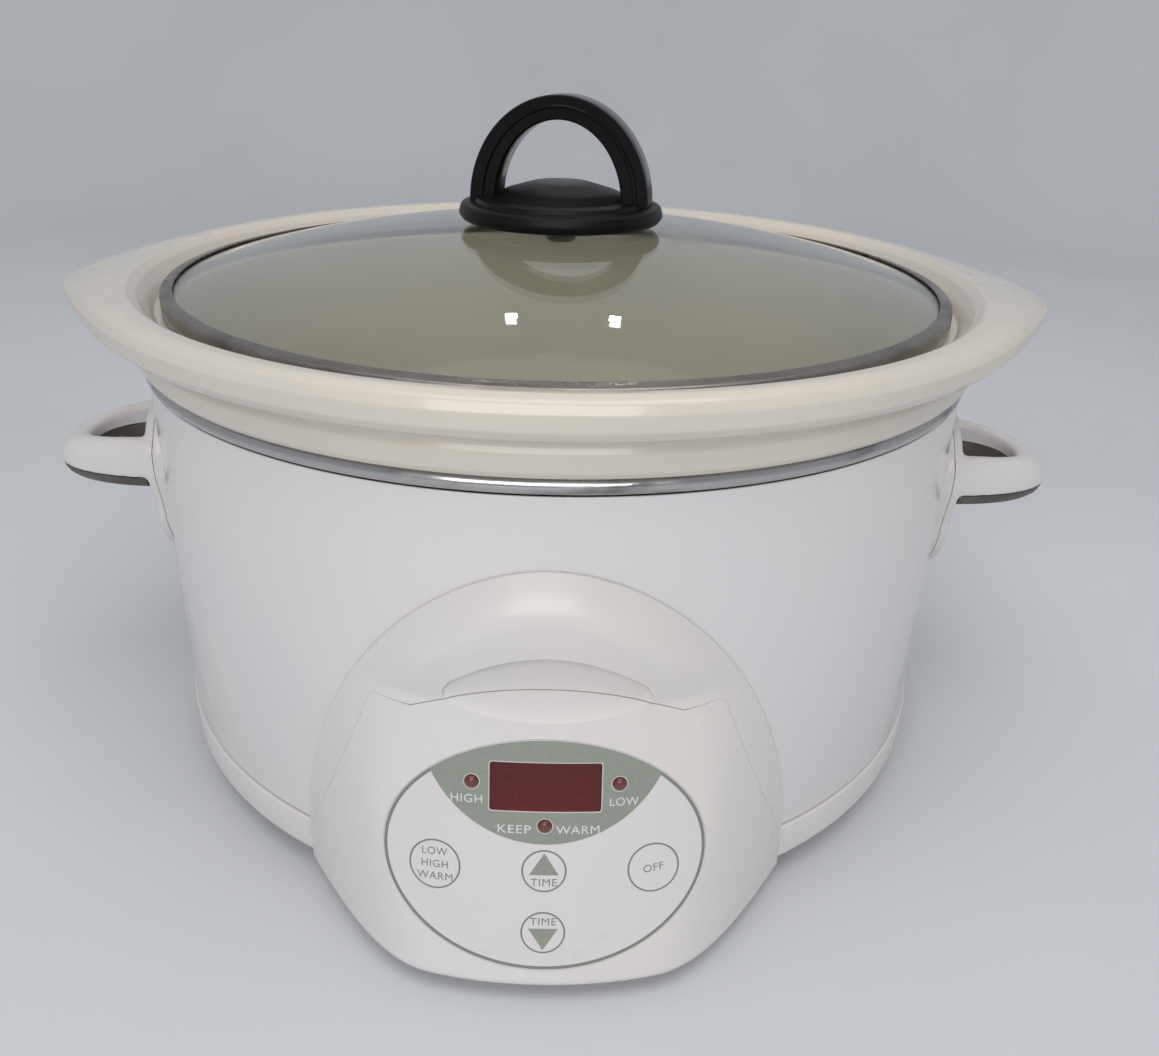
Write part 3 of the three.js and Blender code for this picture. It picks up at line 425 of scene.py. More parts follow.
def ellipse(half_width, half_height, facets, x=0, y=0):
    angles = [FULL_TURN * k / facets for k in range(facets)]
    return [(x + half_width * cos(a), y + half_height * sin(a)) for a in angles]


def circle(radius, facets, x=0, y=0):
    return ellipse(radius, radius, facets, x, y)


def fractions(steps):
    """Even steps from 0 to 1, both ends included."""
    return [k / steps for k in range(steps + 1)]


def clamp(value, low, high):
    return min(max(value, low), high)


def smoothstep(low, high, value):
    t = clamp((value - low) / (high - low), 0, 1)
    return t * t * (3 - 2 * t)


def piece(name, mesh, slot, material, stands_for=(), body="base", crease=32):
    """Puts a finished mesh into the scene as a named piece that rides on a CAD body."""
    mesh = tidied(mesh)
    mesh.transform(Matrix.Translation(AXIS) @ Matrix.Scale(MM, 4))
    mesh.name = name
    mesh.materials.clear()
    mesh.materials.append(material)
    mesh.shade_smooth()
    mesh.set_sharp_from_angle(angle=radians(crease))
    made = linked(name, mesh)
    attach(made, body)
    if stands_for:
        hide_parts(*stands_for)
    return made


# ---- materials


def linear(red, green, blue):
    """A linear colour from 0 to 255 display values."""
    def channel(value):
        share = value / 255
        return share / 12.92 if share <= 0.04045 else ((share + 0.055) / 1.055) ** 2.4
    return (channel(red), channel(green), channel(blue), 1)


class Finish:
    """A material under construction: one Principled shader and the textures that vary it."""

    def __init__(self, name, colour, roughness, **settings):
        self.material = bpy.data.materials.new(name)
        self.material.use_nodes = True
        self.nodes = self.material.node_tree.nodes
        self.links = self.material.node_tree.links
        self.shader = self.nodes["Principled BSDF"]
        self.place = self.node("TexCoord").outputs["Object"]
        self.colour = linear(*colour)
        self.set("Base Color", self.colour)
        self.set("Roughness", roughness)
        for socket, value in settings.items():
            self.set(socket.replace("_", " "), value)

    def set(self, socket, value):
        self.shader.inputs[socket].default_value = value

    def node(self, kind, **values):
        """A new node with the given values on its inputs."""
        made = self.nodes.new(f"ShaderNode{kind}")
        for socket, value in values.items():
            made.inputs[socket.replace("_", " ")].default_value = value
        return made

    def noise(self, scale, detail=3, stretch=(1, 1, 1)):
        """Smooth noise; scale is in cells per metre."""
        mapping = self.node("Mapping", Scale=stretch)
        self.links.new(self.place, mapping.inputs["Vector"])
        texture = self.node("TexNoise", Scale=scale, Detail=detail)
        self.links.new(mapping.outputs["Vector"], texture.inputs["Vector"])
        return texture.outputs["Fac"]

    def height(self):
        """Height above the table, in metres."""
        split = self.node("SeparateXYZ")
        self.links.new(self.place, split.inputs["Vector"])
        return split.outputs["Z"]

    def ramp(self, factor, low, high, first, last):
        spread = self.node("MapRange", From_Min=low, From_Max=high, To_Min=first, To_Max=last)
        spread.interpolation_type = "SMOOTHSTEP"
        self.links.new(factor, spread.inputs["Value"])
        return spread.outputs["Result"]

    def tint(self, factor, other, low=0.35, high=0.65):
        """Blends the colour towards another one where the noise is high."""
        mix = self.node("Mix")
        mix.data_type = "RGBA"
        mix.inputs["B"].default_value = linear(*other)
        base = self.shader.inputs["Base Color"]
        if base.links:
            self.links.new(base.links[0].from_socket, mix.inputs["A"])
        else:
            mix.inputs["A"].default_value = self.colour
        self.links.new(self.ramp(factor, low, high, 0, 1), mix.inputs["Factor"])
        self.links.new(mix.outputs["Result"], base)

    def roughen(self, factor, first, last, low=0.35, high=0.65):
        self.links.new(self.ramp(factor, low, high, first, last), self.shader.inputs["Roughness"])

    def bump(self, height, depth, strength=0.5):
        """Adds relief; depth is in metres."""
        relief = self.node("Bump", Strength=strength, Distance=depth)
        self.links.new(height, relief.inputs["Height"])
        normal = self.shader.inputs["Normal"]
        if normal.links:
            self.links.new(normal.links[0].from_socket, relief.inputs["Normal"])
        self.links.new(relief.outputs["Normal"], normal)

    def lets_light_through(self, tint):
        """Lamps shine through it without caustics, tinted."""
        path = self.node("LightPath")
        clear = self.node("BsdfTransparent", Color=linear(*tint))
        mix = self.node("MixShader")
        self.links.new(path.outputs["Is Shadow Ray"], mix.inputs["Fac"])
        self.links.new(self.shader.outputs["BSDF"], mix.inputs[1])
        self.links.new(clear.outputs["BSDF"], mix.inputs[2])
        self.links.new(mix.outputs["Shader"], self.nodes["Material Output"].inputs["Surface"])


def layered(name, colour, roughness, tints=(), grain=(), relief=(), shade=None, **settings):
    """A material from layers, each led by its noise settings (scale, detail, stretch).

    Tints give another colour and where it starts and ends; grain gives the span of the roughness;
    relief gives a depth in metres and a strength; shade tints the light that passes a clear one.
    """
    finish = Finish(name, colour, roughness, **settings)
    for noise, *blend in tints:
        finish.tint(finish.noise(*noise), *blend)
    for noise, *span in grain:
        finish.roughen(finish.noise(*noise), *span)
    for noise, *size in relief:
        finish.bump(finish.noise(*noise), *size)
    if shade:
        finish.lets_light_through(shade)
    return finish.material


def phenolic():
    """Black phenolic resin: the bow is glossy, and the disc below it is dulled by washing."""
    finish = Finish("black_phenolic", (7, 7, 8), 0.2, Specular_IOR_Level=0.2)
    finish.tint(finish.noise(90, 4), (12, 12, 14), 0.55, 0.85)
    bow_foot = (ARCH_BASE + 8) * MM
    finish.roughen(finish.height(), 0.42, 0.12, bow_foot - 0.002, bow_foot + 0.002)
    finish.bump(finish.noise(1600, 2), 0.00003, 0.3)
    return finish.material


def ink(name, colour):
    darker = tuple(0.97 * c for c in colour)
    return layered(name, colour, 0.4, [((700, 3), darker)], [((500,), 0.34, 0.46)])


def plain_part(name, colour, roughness, other):
    """Finish of a part inside the casing: two close shades and a fine grain."""
    return layered(
        name, colour, roughness, [((300, 3), other)],
        [((500,), 0.85 * roughness, min(1, 1.2 * roughness))], [((2500, 2), 0.00004, 0.4)])


# Cream stoneware glaze: glossy, faintly mottled, with pinholes and slight waves.
GLAZE = layered(
    "stoneware_glaze", (216, 209, 196), 0.16,
    [((14, 2), (211, 205, 194)), ((420, 4), (208, 197, 178), 0.66, 0.9)],
    [((60,), 0.12, 0.24)], [((55, 1), 0.0006, 0.25), ((900, 2), 0.00004, 0.3)],
    Coat_Weight=0.35, Coat_Roughness=0.05)
# White enamel on sheet steel: glossy, with a fine orange peel.
ENAMEL = layered(
    "white_enamel", (226, 222, 221), 0.2, [((9, 2), (221, 219, 220))], [((45,), 0.17, 0.27)],
    [((520, 1), 0.00006, 0.25)], Coat_Weight=0.3, Coat_Roughness=0.06)
# White moulded plastic, half glossy, a little yellowed in places.
WHITE = layered(
    "white_moulding", (222, 219, 218), 0.26, [((7, 1), (221, 217, 212), 0.2, 0.8)],
    [((30, 1), 0.26, 0.3, 0.15, 0.85)], [((1400, 2), 0.00003, 0.3)],
    Coat_Weight=0.2, Coat_Roughness=0.12)
GREY = layered(
    "grey_moulding", (92, 88, 82), 0.5, [((60,), (80, 77, 72))], [((120,), 0.42, 0.6)],
    [((2200, 2), 0.00006, 0.5)])
BLACK = phenolic()
# Bright plating on the rolled ring, its roughness streaked along its length, with darker streaks along it
# that are painted reflection bands.
PLATED = layered(
    # the dark tint below is painted reflection: streaks of darker colour along the ring
    "bright_plating", (188, 187, 186), 0.12, [((35, 4, (1, 1, 5)), (112, 109, 105), 0.5, 0.8)],
    [((60, 4, (1, 1, 8)), 0.07, 0.3)], [((300, 2, (1, 1, 3)), 0.0001, 0.2)], Metallic=1)
# Brushed stainless steel, with water stains.
LID_STEEL = layered(
    "stained_steel", (146, 141, 136), 0.3, [((40, 3), (112, 106, 99), 0.45, 0.8)],
    [((120, 3, (1, 1, 6)), 0.24, 0.4)], [((500, 2, (1, 1, 6)), 0.00003, 0.2)], Metallic=1)
MILL_STEEL = layered(
    "mill_steel", (164, 163, 160), 0.36, [((20, 4), (140, 132, 120), 0.45, 0.8)],
    [((240, 3, (1, 1, 6)), 0.26, 0.5)], [((800, 2, (1, 1, 6)), 0.00005, 0.4)], Metallic=1)
# Clear tempered soda-lime glass with its green tint and faint smears.
GLASS = layered(
    "tempered_glass", (228, 230, 224), 0.02, grain=[((30, 5), 0.0, 0.05, 0.45, 0.75)],
    shade=(214, 216, 212), Transmission_Weight=1, IOR=1.5)
RED = layered(
    "red_filter", (176, 12, 26), 0.04, grain=[((150, 4), 0.02, 0.12)], shade=(214, 30, 40),
    Transmission_Weight=0.9, IOR=1.49)
# Clear lamp epoxy over a faint red chip.
EPOXY = layered(
    "lamp_epoxy", (150, 70, 62), 0.04, grain=[((800,), 0.02, 0.1)], shade=(236, 200, 196),
    Transmission_Weight=0.6, IOR=1.54, Coat_Weight=0.6)
# Printed control film: satin, with light scuffs.
FILM = layered(
    "control_film", (219, 216, 214), 0.34, [((120, 4), (212, 209, 206), 0.6, 0.85)],
    [((120, 3), 0.3, 0.4)], [((1800, 2), 0.00002, 0.3)], Coat_Weight=0.15, Coat_Roughness=0.2)
INK_GREEN = ink("green_grey_ink", (146, 152, 140))
INK_GREY = ink("grey_ink", (132, 133, 126))
INK_PALE = ink("pale_ink", (222, 222, 218))
RUBBER = layered(
    "foot_rubber", (38, 38, 38), 0.85, [((200,), (52, 50, 48))], [((300,), 0.75, 0.95)],
    [((3000, 2), 0.0001, 0.5)])
BOARD = plain_part("solder_mask", (31, 91, 51), 0.45, (24, 76, 44))
DARK_EPOXY = plain_part("dark_epoxy", (28, 28, 29), 0.5, (38, 38, 40))
MODULE_GREY = plain_part("display_face", (86, 82, 80), 0.5, (78, 74, 72))
MICA = plain_part("heater_mica", (181, 156, 107), 0.7, (160, 134, 88))
RELAY_BLUE = plain_part("relay_case", (42, 79, 154), 0.4, (36, 68, 138))
SLEEVE = plain_part("lead_sleeve", (138, 42, 34), 0.6, (120, 36, 30))
DIGIT_GREY = plain_part("unlit_digit", (104, 98, 96), 0.5, (96, 91, 89))


# ---- crock


def lug_share(x, y):
    degrees = math.degrees(atan2(abs(y), abs(x)))
    return 1 / (1 + (degrees / LUG_SPREAD) ** 2)


def pull_lugs(x, y, z):
    """Draws the rim out into a lug on each side; the top of the rim falls towards the lug's tip."""
    radius = hypot(x, y)
    share = clamp((radius - LUG_ROOT) / (RIM_RADIUS - LUG_ROOT), 0, 1)
    if not share:
        return x, y, z
    out = share * lug_share(x, y)
    stretch = 1 + LUG_REACH * out / radius
    height = clamp((z - RIM_UNDERSIDE) / (CROCK_TOP - RIM_UNDERSIDE), 0, 1)
    return x * stretch, y * stretch, z - LUG_DROOP * out * height


def make_crock():
    shoulder = RING_TOP + GAP
    corners = [
        (0, 24.5, 0), (118, 24.5, 4), (129, 31, 8), (132, 45, 20), (135, shoulder, 0.3),
        (146.4, shoulder, 0.5), (147.8, 153.4, 1.2), (147.8, 158.5, 2.5), (146.4, 161.2, 2.5),
        (153.6, RIM_UNDERSIDE, 1.5), (155, 167, 2), (155, 171.5, 3), (153.8, 174.6, 2.4),
        (151.2, CROCK_TOP, 3), (148, 175.3, 3), (145, 172.8, 4), (140.5, LEDGE_HEIGHT, 1.5),
        (132, LEDGE_HEIGHT, 1.5), (127.5, 48, 14), (121, 36, 9), (110, 32, 10), (0, 32, 0),
    ]
    crock = lathe(corners, bend=pull_lugs)
    piece("crock", crock, "stoneware", GLAZE, ["stoneware_crock"], "crock", 50)


# ---- lid


def dome_height(radius):
    sphere = (GLASS_RADIUS ** 2 + DOME_RISE ** 2) / (2 * DOME_RISE)
    return GLASS_APEX - sphere + sqrt(sphere ** 2 - radius ** 2)


def make_glass():
    bore = 3
    radii = [bore + (GLASS_RADIUS - bore) * t for t in fractions(40)]
    outside = [(r, dome_height(r)) for r in radii]
    inside = [(r, dome_height(r) - GLASS_THICKNESS) for r in reversed(radii)]
    middle = (outside[-1][1] + inside[0][1]) / 2
    edge = [(GLASS_RADIUS, middle)]
    piece("glass_dome", turned(outside + edge + inside), "glass", GLASS, ["lid_glass"], "lid")


def make_band():
    lip = GLASS_RADIUS - 3
    lip_rise = dome_height(lip) - GLASS_EDGE_TOP
    bottom = LEDGE_HEIGHT + GAP
    top = GLASS_EDGE_TOP + GAP
    wall = 0.75
    corners = [
        (lip, bottom, 0.1), (BAND_RADIUS, bottom, 0.9), (BAND_RADIUS, top + wall, 1.1),
        (lip, top + lip_rise + wall, 0.3), (lip, top + lip_rise, 0.1), (GLASS_RADIUS + GAP, top, 0.3),
        (GLASS_RADIUS + GAP, bottom + wall, 0.3), (lip, bottom + wall, 0.1),
    ]
    piece("glass_rim_band", lathe(corners, steps=4), "steel", LID_STEEL, ["lid_rim_band"], "lid")


def arch_point(angle, inward):
    """A point of the arch's band at a share inward from its outer edge, in the arch's own plane."""
    across = ARCH_HALF_WIDTH - inward * ARCH_BAND_SIDE
    up = ARCH_HEIGHT - inward * ARCH_BAND_TOP
    return across * cos(angle), ARCH_BASE + up * sin(angle)


def knob_arch():
    """The bow: a deep band over a half ellipse, with a stepped rib along each face."""
    deep = ARCH_HALF_DEPTH
    flat = deep - 0.9
    half_section = [
        (0.0, flat - 0.9), (0.015, flat - 0.4), (0.05, flat), (0.37, flat), (0.39, deep - 0.15),
        (0.42, deep), (0.50, deep), (0.53, deep - 0.15), (0.55, flat), (0.93, flat),
        (0.98, flat - 0.5), (1.0, flat - 1.1),
    ]
    section = half_section + [(s, -d) for s, d in reversed(half_section)]
    steps = 96
    sink = 0.09
    vertices = []
    for t in fractions(steps):
        angle = -sink + (pi + 2 * sink) * t
        for inward, depth in section:
            across, up = arch_point(angle, inward)
            vertices.append((across, depth, up))
    rows = even_rows(steps + 1, len(section))
    return mesh_from(vertices, bands(zip(rows, rows[1:])) + [tuple(rows[0]), tuple(rows[-1])])


def make_knob():
    disc = lathe([
        (0, KNOB_BOTTOM, 0), (31, KNOB_BOTTOM, 1), (34.8, KNOB_BOTTOM - 1, 1.2), (KNOB_RADIUS, 193.6, 2),
        (35.6, 196.9, 1.6), (33, 197.4, 1), (30.6, 197.3, 0.4), (30.1, 198.7, 0.5), (24.6, 198.9, 1.5),
        (20, 201.4, 8), (10, 204.3, 12), (0, 205, 0),
    ], MEDIUM * 2)
    knob = cut(union(disc, knob_arch()), rod(2.5, (0, 0, 180), 22.5))
    moved(knob, Matrix.Rotation(LID_TURN, 4, "Z"))
    piece("arched_knob", knob, "black_plastic", BLACK, ["lid_knob"], "lid", 24)

    low, high = GLASS_APEX + GAP, KNOB_BOTTOM - GAP
    gasket = lathe([(3, low, 0.2), (13, low, 0.4), (12.6, high, 0.4), (3, high, 0.2)], MEDIUM)
    piece("knob_seal", gasket, "rubber", RUBBER, ["knob_gasket"], "lid")
    high = top_of("knob_washer")
    low = high - 1.2
    washer = lathe([(3, low, 0.2), (10, low, 0.5), (10, high, 0.3), (3, high, 0.2)], MEDIUM)
    piece("knob_seal_inside", washer, "rubber", RUBBER, ["knob_washer"], "lid")
    fixing = screw((0, 0, low - GAP), UP, 17, 6, 2.1)
    piece("knob_fixing", fixing, "steel", MILL_STEEL, ["knob_screw"], "lid")


# ---- screws


def screw(start, direction, length, head=3.2, shank=1.5):
    """A pan-head screw with a cross recess: head behind the start, shank along the direction."""
    tall = head * 0.5
    body = lathe([
        (0, -tall, 0), (head * 0.8, -tall, head * 0.3), (head, 0, head * 0.2), (shank, 0, 0.1),
        (shank, length, 0.3), (0, length, 0)], SMALL)
    slot = head * 0.1
    arm = head * 0.5
    deep = -tall * 0.35
    cross = union(
        block((-arm, -slot, -tall - 1), (arm, slot, deep)),
        block((-slot, -arm, -tall - 1), (slot, arm, deep - 0.01)))
    return moved(cut(body, cross), Matrix.Translation(start) @ towards(direction))


# ---- heating base


def around(radius, angle):
    """A point on a circle about the axis, at an angle in degrees."""
    return radius * cos(radians(angle)), radius * sin(radians(angle))


def posts(radius, ring, angles):
    """Upright rods on a circle about the cooker's axis, from the table up."""
    return [rod(radius, (*around(ring, angle), 0), 20) for angle in angles]


def make_wrap():
    """The wrap has an opening behind the pod, for the wires."""
    wrap = lathe([
        (WRAP_RADIUS - SHEET, WRAP_BOTTOM, 0.2), (WRAP_RADIUS, WRAP_BOTTOM, 0.35),
        (WRAP_RADIUS, WRAP_TOP, 0.4), (WRAP_RADIUS - SHEET, WRAP_TOP, 0.2)], steps=3)
    window = block((-38, -160, 26), (38, -130, 86))
    piece("enamelled_wrap", cut(wrap, window), "painted_steel", ENAMEL, ["outer_wrap"])


def make_ring():
    """The rolled ring that the crock rests over: an inner flange and a round bead."""
    centre_radius = RING_RADIUS - BEAD_RADIUS
    centre_height = RING_TOP - BEAD_RADIUS
    low = WRAP_TOP + 2 * GAP + SHEET
    bead_steps = 20
    bead = []
    for k in range(bead_steps + 1):
        across, up = around(BEAD_RADIUS, -118 + 270 * k / bead_steps)
        bead.append((centre_radius + across, centre_height + up))
    inner = LINER_RADIUS
    profile = [(inner, low), (141.4, low)] + bead + [(141.0, 149.2), (inner, 149.2)]
    piece("rolled_ring", turned(profile), "chrome", PLATED, ["rim_ring"], crease=40)


def make_liner():
    flange_top = WRAP_TOP + GAP + SHEET
    inner = LINER_RADIUS - SHEET
    liner = lathe([
        (0, LINER_FLOOR, 0), (129, LINER_FLOOR, 8), (LINER_RADIUS, 29, 8),
        (LINER_RADIUS, WRAP_TOP + GAP, 0.2), (141.2, WRAP_TOP + GAP, 0.2), (141.2, flange_top, 0.3),
        (inner, flange_top, 0.8), (inner, 29.4, 7.6), (128.7, LINER_FLOOR + SHEET, 7.6),
        (0, LINER_FLOOR + SHEET, 0)])
    liner = cut(liner, rod(BOLT_HOLE, (0, 0, 0), 40))
    piece("heating_pan", liner, "steel", MILL_STEEL, ["heating_liner"])
    seat = LINER_FLOOR + SHEET + GAP
    bolt = screw((0, 0, seat), (0, 0, -1), seat - 7, 5.6, 2.2)
    piece("pan_fixing", bolt, "steel", MILL_STEEL, ["pan_bolt"])


def make_underside():
    low, high = bottom_of("bottom_plate"), top_of("bottom_plate")
    rib = 0.5
    plate = lathe([
        (0, low, 0), (60, low, 1), (62, low - rib, 1), (78, low - rib, 1), (80, low, 1),
        (124, low, 0.2), (124, high, 0.2), (80, high, 1), (78, high - rib, 1), (62, high - rib, 1),
        (60, high, 1), (0, high, 0)])
    screws = posts(SCREW_HOLE, SCREW_RING, SCREW_ANGLES)
    vents = posts(2, 42, range(0, 360, 30))
    plate = cut(plate, rod(BOLT_HOLE, (0, 0, 0), 40), *screws, *vents)
    piece("underside_plate", plate, "steel", MILL_STEEL, ["bottom_plate"])
    seat = SKIRT_BOTTOM - GAP
    for i, angle in enumerate(SCREW_ANGLES, 1):
        fixing = screw((*around(SCREW_RING, angle), seat), UP, 7, 3.8, 1.8)
        piece(f"underside_screw_{i}", fixing, "steel", MILL_STEEL, [f"base_screw_{i}"])
    for i, angle in enumerate(FOOT_ANGLES, 1):
        foot = lathe([
            (0, 0, 0), (10, 0, 1.6), (10, seat, 0.5), (3.4, seat, 0.2), (3.4, FLANGE_TOP, 0.4),
            (0, FLANGE_TOP, 0)], MEDIUM)
        foot = cut(foot, rod(4.5, (0, 0, -1), 2.2))
        moved(foot, Matrix.Translation((*around(FOOT_RING, angle), 0)))
        piece(f"rubber_foot_{i}", foot, "rubber", RUBBER, [f"foot_{i}"])


def make_gland():
    inside = SKIRT_RADIUS - 3 - GAP - 0.4
    outside = SKIRT_RADIUS + GAP
    bush = lathe([
        (3.5, inside - 2, 0.2), (5.8, inside - 2, 0.4), (5.8, inside, 0.2), (4.9, inside, 0.1),
        (4.9, outside, 0.1), (5.8, outside, 0.3), (5.8, outside + 1.8, 0.7), (4.1, outside + 2.6, 0.4),
        (3.5, outside + 2.6, 0.2)], SMALL)
    moved(bush, Matrix.Translation((0, 0, CORD_HEIGHT)) @ Matrix.Rotation(-pi / 2, 4, "X"))
    piece("cord_bush", bush, "black_plastic", DARK_EPOXY, ["cord_gland"])


# ---- side handles


def bezier(p0, p1, p2, p3, t):
    return tuple((1 - t) ** 3 * a + 3 * (1 - t) ** 2 * t * b + 3 * (1 - t) * t ** 2 * c + t ** 3 * d
                 for a, b, c, d in zip(p0, p1, p2, p3))


def loop_outline(start, end, half_width):
    """Plan of a D-shaped loop: wide at the escutcheon, with a rounded tip."""
    ahead = start + 0.62 * (end - start)
    guides = (start, -half_width), (ahead, -half_width), (end, -0.6 * half_width), (end, 0)
    right = [bezier(*guides, t) for t in fractions(40)]
    left = [(x, -y) for x, y in reversed(right[:-1])]
    return right + left


def handle_roof(x):
    t = clamp((x - HANDLE_ROOT) / (HANDLE_REACH - HANDLE_ROOT), 0, 1)
    return HANDLE_TOP - HANDLE_TOP_FALL * t ** 2


def loop_ring(outer, inner, section):
    """A closed ring between two plan outlines; section gives (share outward, height) at each plan point."""
    vertices = []
    for (ox, oy), (ix, iy) in zip(outer, inner):
        for share, height in section:
            x = ix + share * (ox - ix)
            y = iy + share * (oy - iy)
            vertices.append((x, y, height(x) if callable(height) else height))
    rows = even_rows(len(outer), len(section))
    return mesh_from(vertices, bands(zip(rows, rows[1:] + rows[:1])))


def crowned_section(bottom):
    """Across the loop from the hole to the outside: a crowned top that rolls down to a fuller outer wall."""
    crown = [(0.0, 3.4), (0.03, 1.9), (0.1, 0.8), (0.22, 0.15), (0.4, 0.0), (0.6, 0.5), (0.76, 1.7),
             (0.89, 3.7), (0.97, 6.2), (1.0, 8.4)]
    section = [(0.0, bottom)]
    for share, drop in crown:
        section.append((share, lambda x, d=drop: max(handle_roof(x) - d, bottom + 0.4)))
    return section + [(1.0, bottom)]


def escutcheon(back, face, grow=0):
    """An upright oblong slab against the wrap, round at the top and at the foot."""
    outline = []
    top = ESCUTCHEON_TOP - ESCUTCHEON_TOP_RADIUS
    foot = ESCUTCHEON_BOTTOM + ESCUTCHEON_BOTTOM_RADIUS
    for radius, height, start in ((ESCUTCHEON_TOP_RADIUS, top, 0), (ESCUTCHEON_BOTTOM_RADIUS, foot, 180)):
        for t in fractions(32):
            across, up = around(radius + grow, start + 180 * t)
            outline.append((across, height + up))
    return slab(outline, (0, 94), [0.5, 0.8, 1], lambda y, z: (back, y, z), lambda y, z: (face, y, z))


def make_handles():
    outer = loop_outline(HANDLE_ROOT, HANDLE_REACH, HANDLE_HALF_WIDTH)
    hole = loop_outline(HOLE_START, HOLE_END, HOLE_HALF_WIDTH)
    pocket, lip = [
        loop_outline(HOLE_START - grow, HOLE_END + grow, HOLE_HALF_WIDTH + grow)
        for grow in (GRIP_LIP + GAP, GRIP_LIP)]
    shell_bottom = GRIP_TOP + GAP

    plate = escutcheon(120, ESCUTCHEON_FACE)
    body = union(plate, loop_ring(outer, hole, crowned_section(shell_bottom)))
    groove = cut(
        escutcheon(ESCUTCHEON_BACKING, ESCUTCHEON_BACKING + 0.3, 3),
        escutcheon(ESCUTCHEON_BACKING - 1, ESCUTCHEON_BACKING + 1, -0.7))
    shell = cut(
        softened(body, 0.8, 5),
        groove,
        prism(hole, 80, 140),
        drum(WRAP_RADIUS + GAP, 0, 200),
        prism(pocket, 80, GRIP_LIP_TOP + GAP),
        block((ESCUTCHEON_FACE + 0.4, -40, 90), (HANDLE_REACH + 5, 40, shell_bottom)))

    tray_outer = loop_outline(HANDLE_ROOT, HANDLE_REACH - 0.8, HANDLE_HALF_WIDTH - 0.8)
    tray = loop_ring(tray_outer, hole, [
        (0.0, GRIP_BOTTOM + 1), (0.06, GRIP_BOTTOM + 0.3), (0.14, GRIP_BOTTOM), (0.55, GRIP_BOTTOM),
        (0.8, GRIP_BOTTOM + 0.5), (0.93, GRIP_BOTTOM + 1.5), (1.0, GRIP_BOTTOM + 3),
        (1.0, GRIP_TOP), (0.0, GRIP_TOP)])
    wall = loop_ring(lip, hole, [
        (0.0, GRIP_BOTTOM + 1), (1.0, GRIP_BOTTOM + 1), (1.0, GRIP_LIP_TOP - 0.4), (0.8, GRIP_LIP_TOP),
        (0.2, GRIP_LIP_TOP), (0.0, GRIP_LIP_TOP - 0.4)])
    screw_x = node_centre("handle_right_grip_screw").x / MM
    screw_seat = GRIP_BOTTOM + 2
    grip = cut(
        union(tray, wall),
        block((100, -60, 60), (ESCUTCHEON_FACE + GAP, 60, 140)),
        rod(1.9, (screw_x, 0, 80), 40),
        rod(3.5, (screw_x, 0, 80), screw_seat - 80))
    fixing = screw((screw_x, 0, screw_seat - GAP), UP, 6.5, 2.9)

    made = [
        ("shell", "shell", main_body(shell), "white_plastic", WHITE),
        ("grip", "grip", main_body(grip), "grey_plastic", GREY),
        ("screw", "grip_screw", fixing, "steel", MILL_STEEL),
    ]
    for side, turn in (("right", 0), ("left", pi)):
        spin = Matrix.Rotation(turn, 4, "Z")
        for part, node, mesh, slot, material in made:
            mesh = moved(mesh.copy(), spin)
            piece(f"{side}_handle_{part}", mesh, slot, material, [f"handle_{side}_{node}"], crease=40)


# ---- control pod


def face_drop(x):
    return 0.0034 * x ** 2 + 3e-7 * x ** 4


def face_depth(z):
    face = POD_FRONT - FACE_SLOPE * (z - POD_BOTTOM)
    hood = HOOD_FRONT - 1.6 * ((z - HOOD_BULGE_HEIGHT) / 20) ** 2
    return max(face, hood)


def side_depth(x, z, inset):
    """Depth of the drafted sides, which rise from the pod's arched outline on the wrap."""
    steepness = POD_DRAFT - POD_DRAFT_FALL * smoothstep(0, 100, z)
    edge = POD_HALF_WIDTH - inset
    inside = edge - abs(x)
    up = z - POD_CENTRE
    if up > 0:
        across = abs(x) / edge
        rise = up / (POD_TOP - inset - POD_CENTRE)
        share = (across ** POD_ARCH_POWER + rise ** POD_ARCH_POWER) ** (1 / POD_ARCH_POWER)
        edge = abs(x) / share
        inside = (1 - share) * hypot(x, up) / share
    foot = sqrt(max(0, (WRAP_RADIUS + POD_EDGE) ** 2 - edge ** 2))
    return foot + steepness * inside


def soft_min(a, b, softness):
    blend = max(softness - abs(a - b), 0) / softness
    return min(a, b) - blend ** 2 * softness / 4


def pod_depth(x, z, inset=0):
    front = face_depth(z) - face_drop(x) - (FACE_WALL if inset else 0)
    foot = clamp(POD_BOTTOM + POD_FOOT_RADIUS - z, 0, POD_FOOT_RADIUS)
    rounding = POD_FOOT_RADIUS - sqrt(POD_FOOT_RADIUS ** 2 - foot ** 2)
    softness = POD_FOOT_SOFTNESS + (POD_SOFTNESS - POD_FOOT_SOFTNESS) * smoothstep(8, 62, z)
    softness += (HOOD_SOFTNESS - POD_SOFTNESS) * smoothstep(86, 100, z)
    return soft_min(front, side_depth(x, z, inset), softness) - rounding


def pod_outline(inset, bottom, fine):
    arch_steps, side_steps, bottom_steps = 72 * fine, 4 * fine, 32 * fine
    half_width = POD_HALF_WIDTH - inset
    power = 2 / POD_ARCH_POWER
    sides = [bottom + (POD_CENTRE - bottom) * k / side_steps for k in range(side_steps)]
    arch = []
    for k in range(arch_steps + 1):
        angle = pi * k / arch_steps
        across = copysign(abs(cos(angle)) ** power, cos(angle))
        up = max(0, sin(angle)) ** power
        arch.append((half_width * across, POD_CENTRE + (POD_TOP - inset - POD_CENTRE) * up))
    right = [(half_width, z) for z in sides]
    left = [(-half_width, z) for z in reversed(sides)]
    foot = [(half_width * (2 * k / bottom_steps - 1), bottom) for k in range(1, bottom_steps)]
    return right + arch + left + foot


def pod_solid(inset, bottom, back, ring_count, fine):
    rings = [1 - (1 - k / ring_count) ** 1.5 for k in range(1, ring_count + 1)]
    return slab(
        pod_outline(inset, bottom, fine), (0, 55), rings,
        lambda x, z: (x, -back, z),
        lambda x, z: (x, -pod_depth(x, z, inset), z))


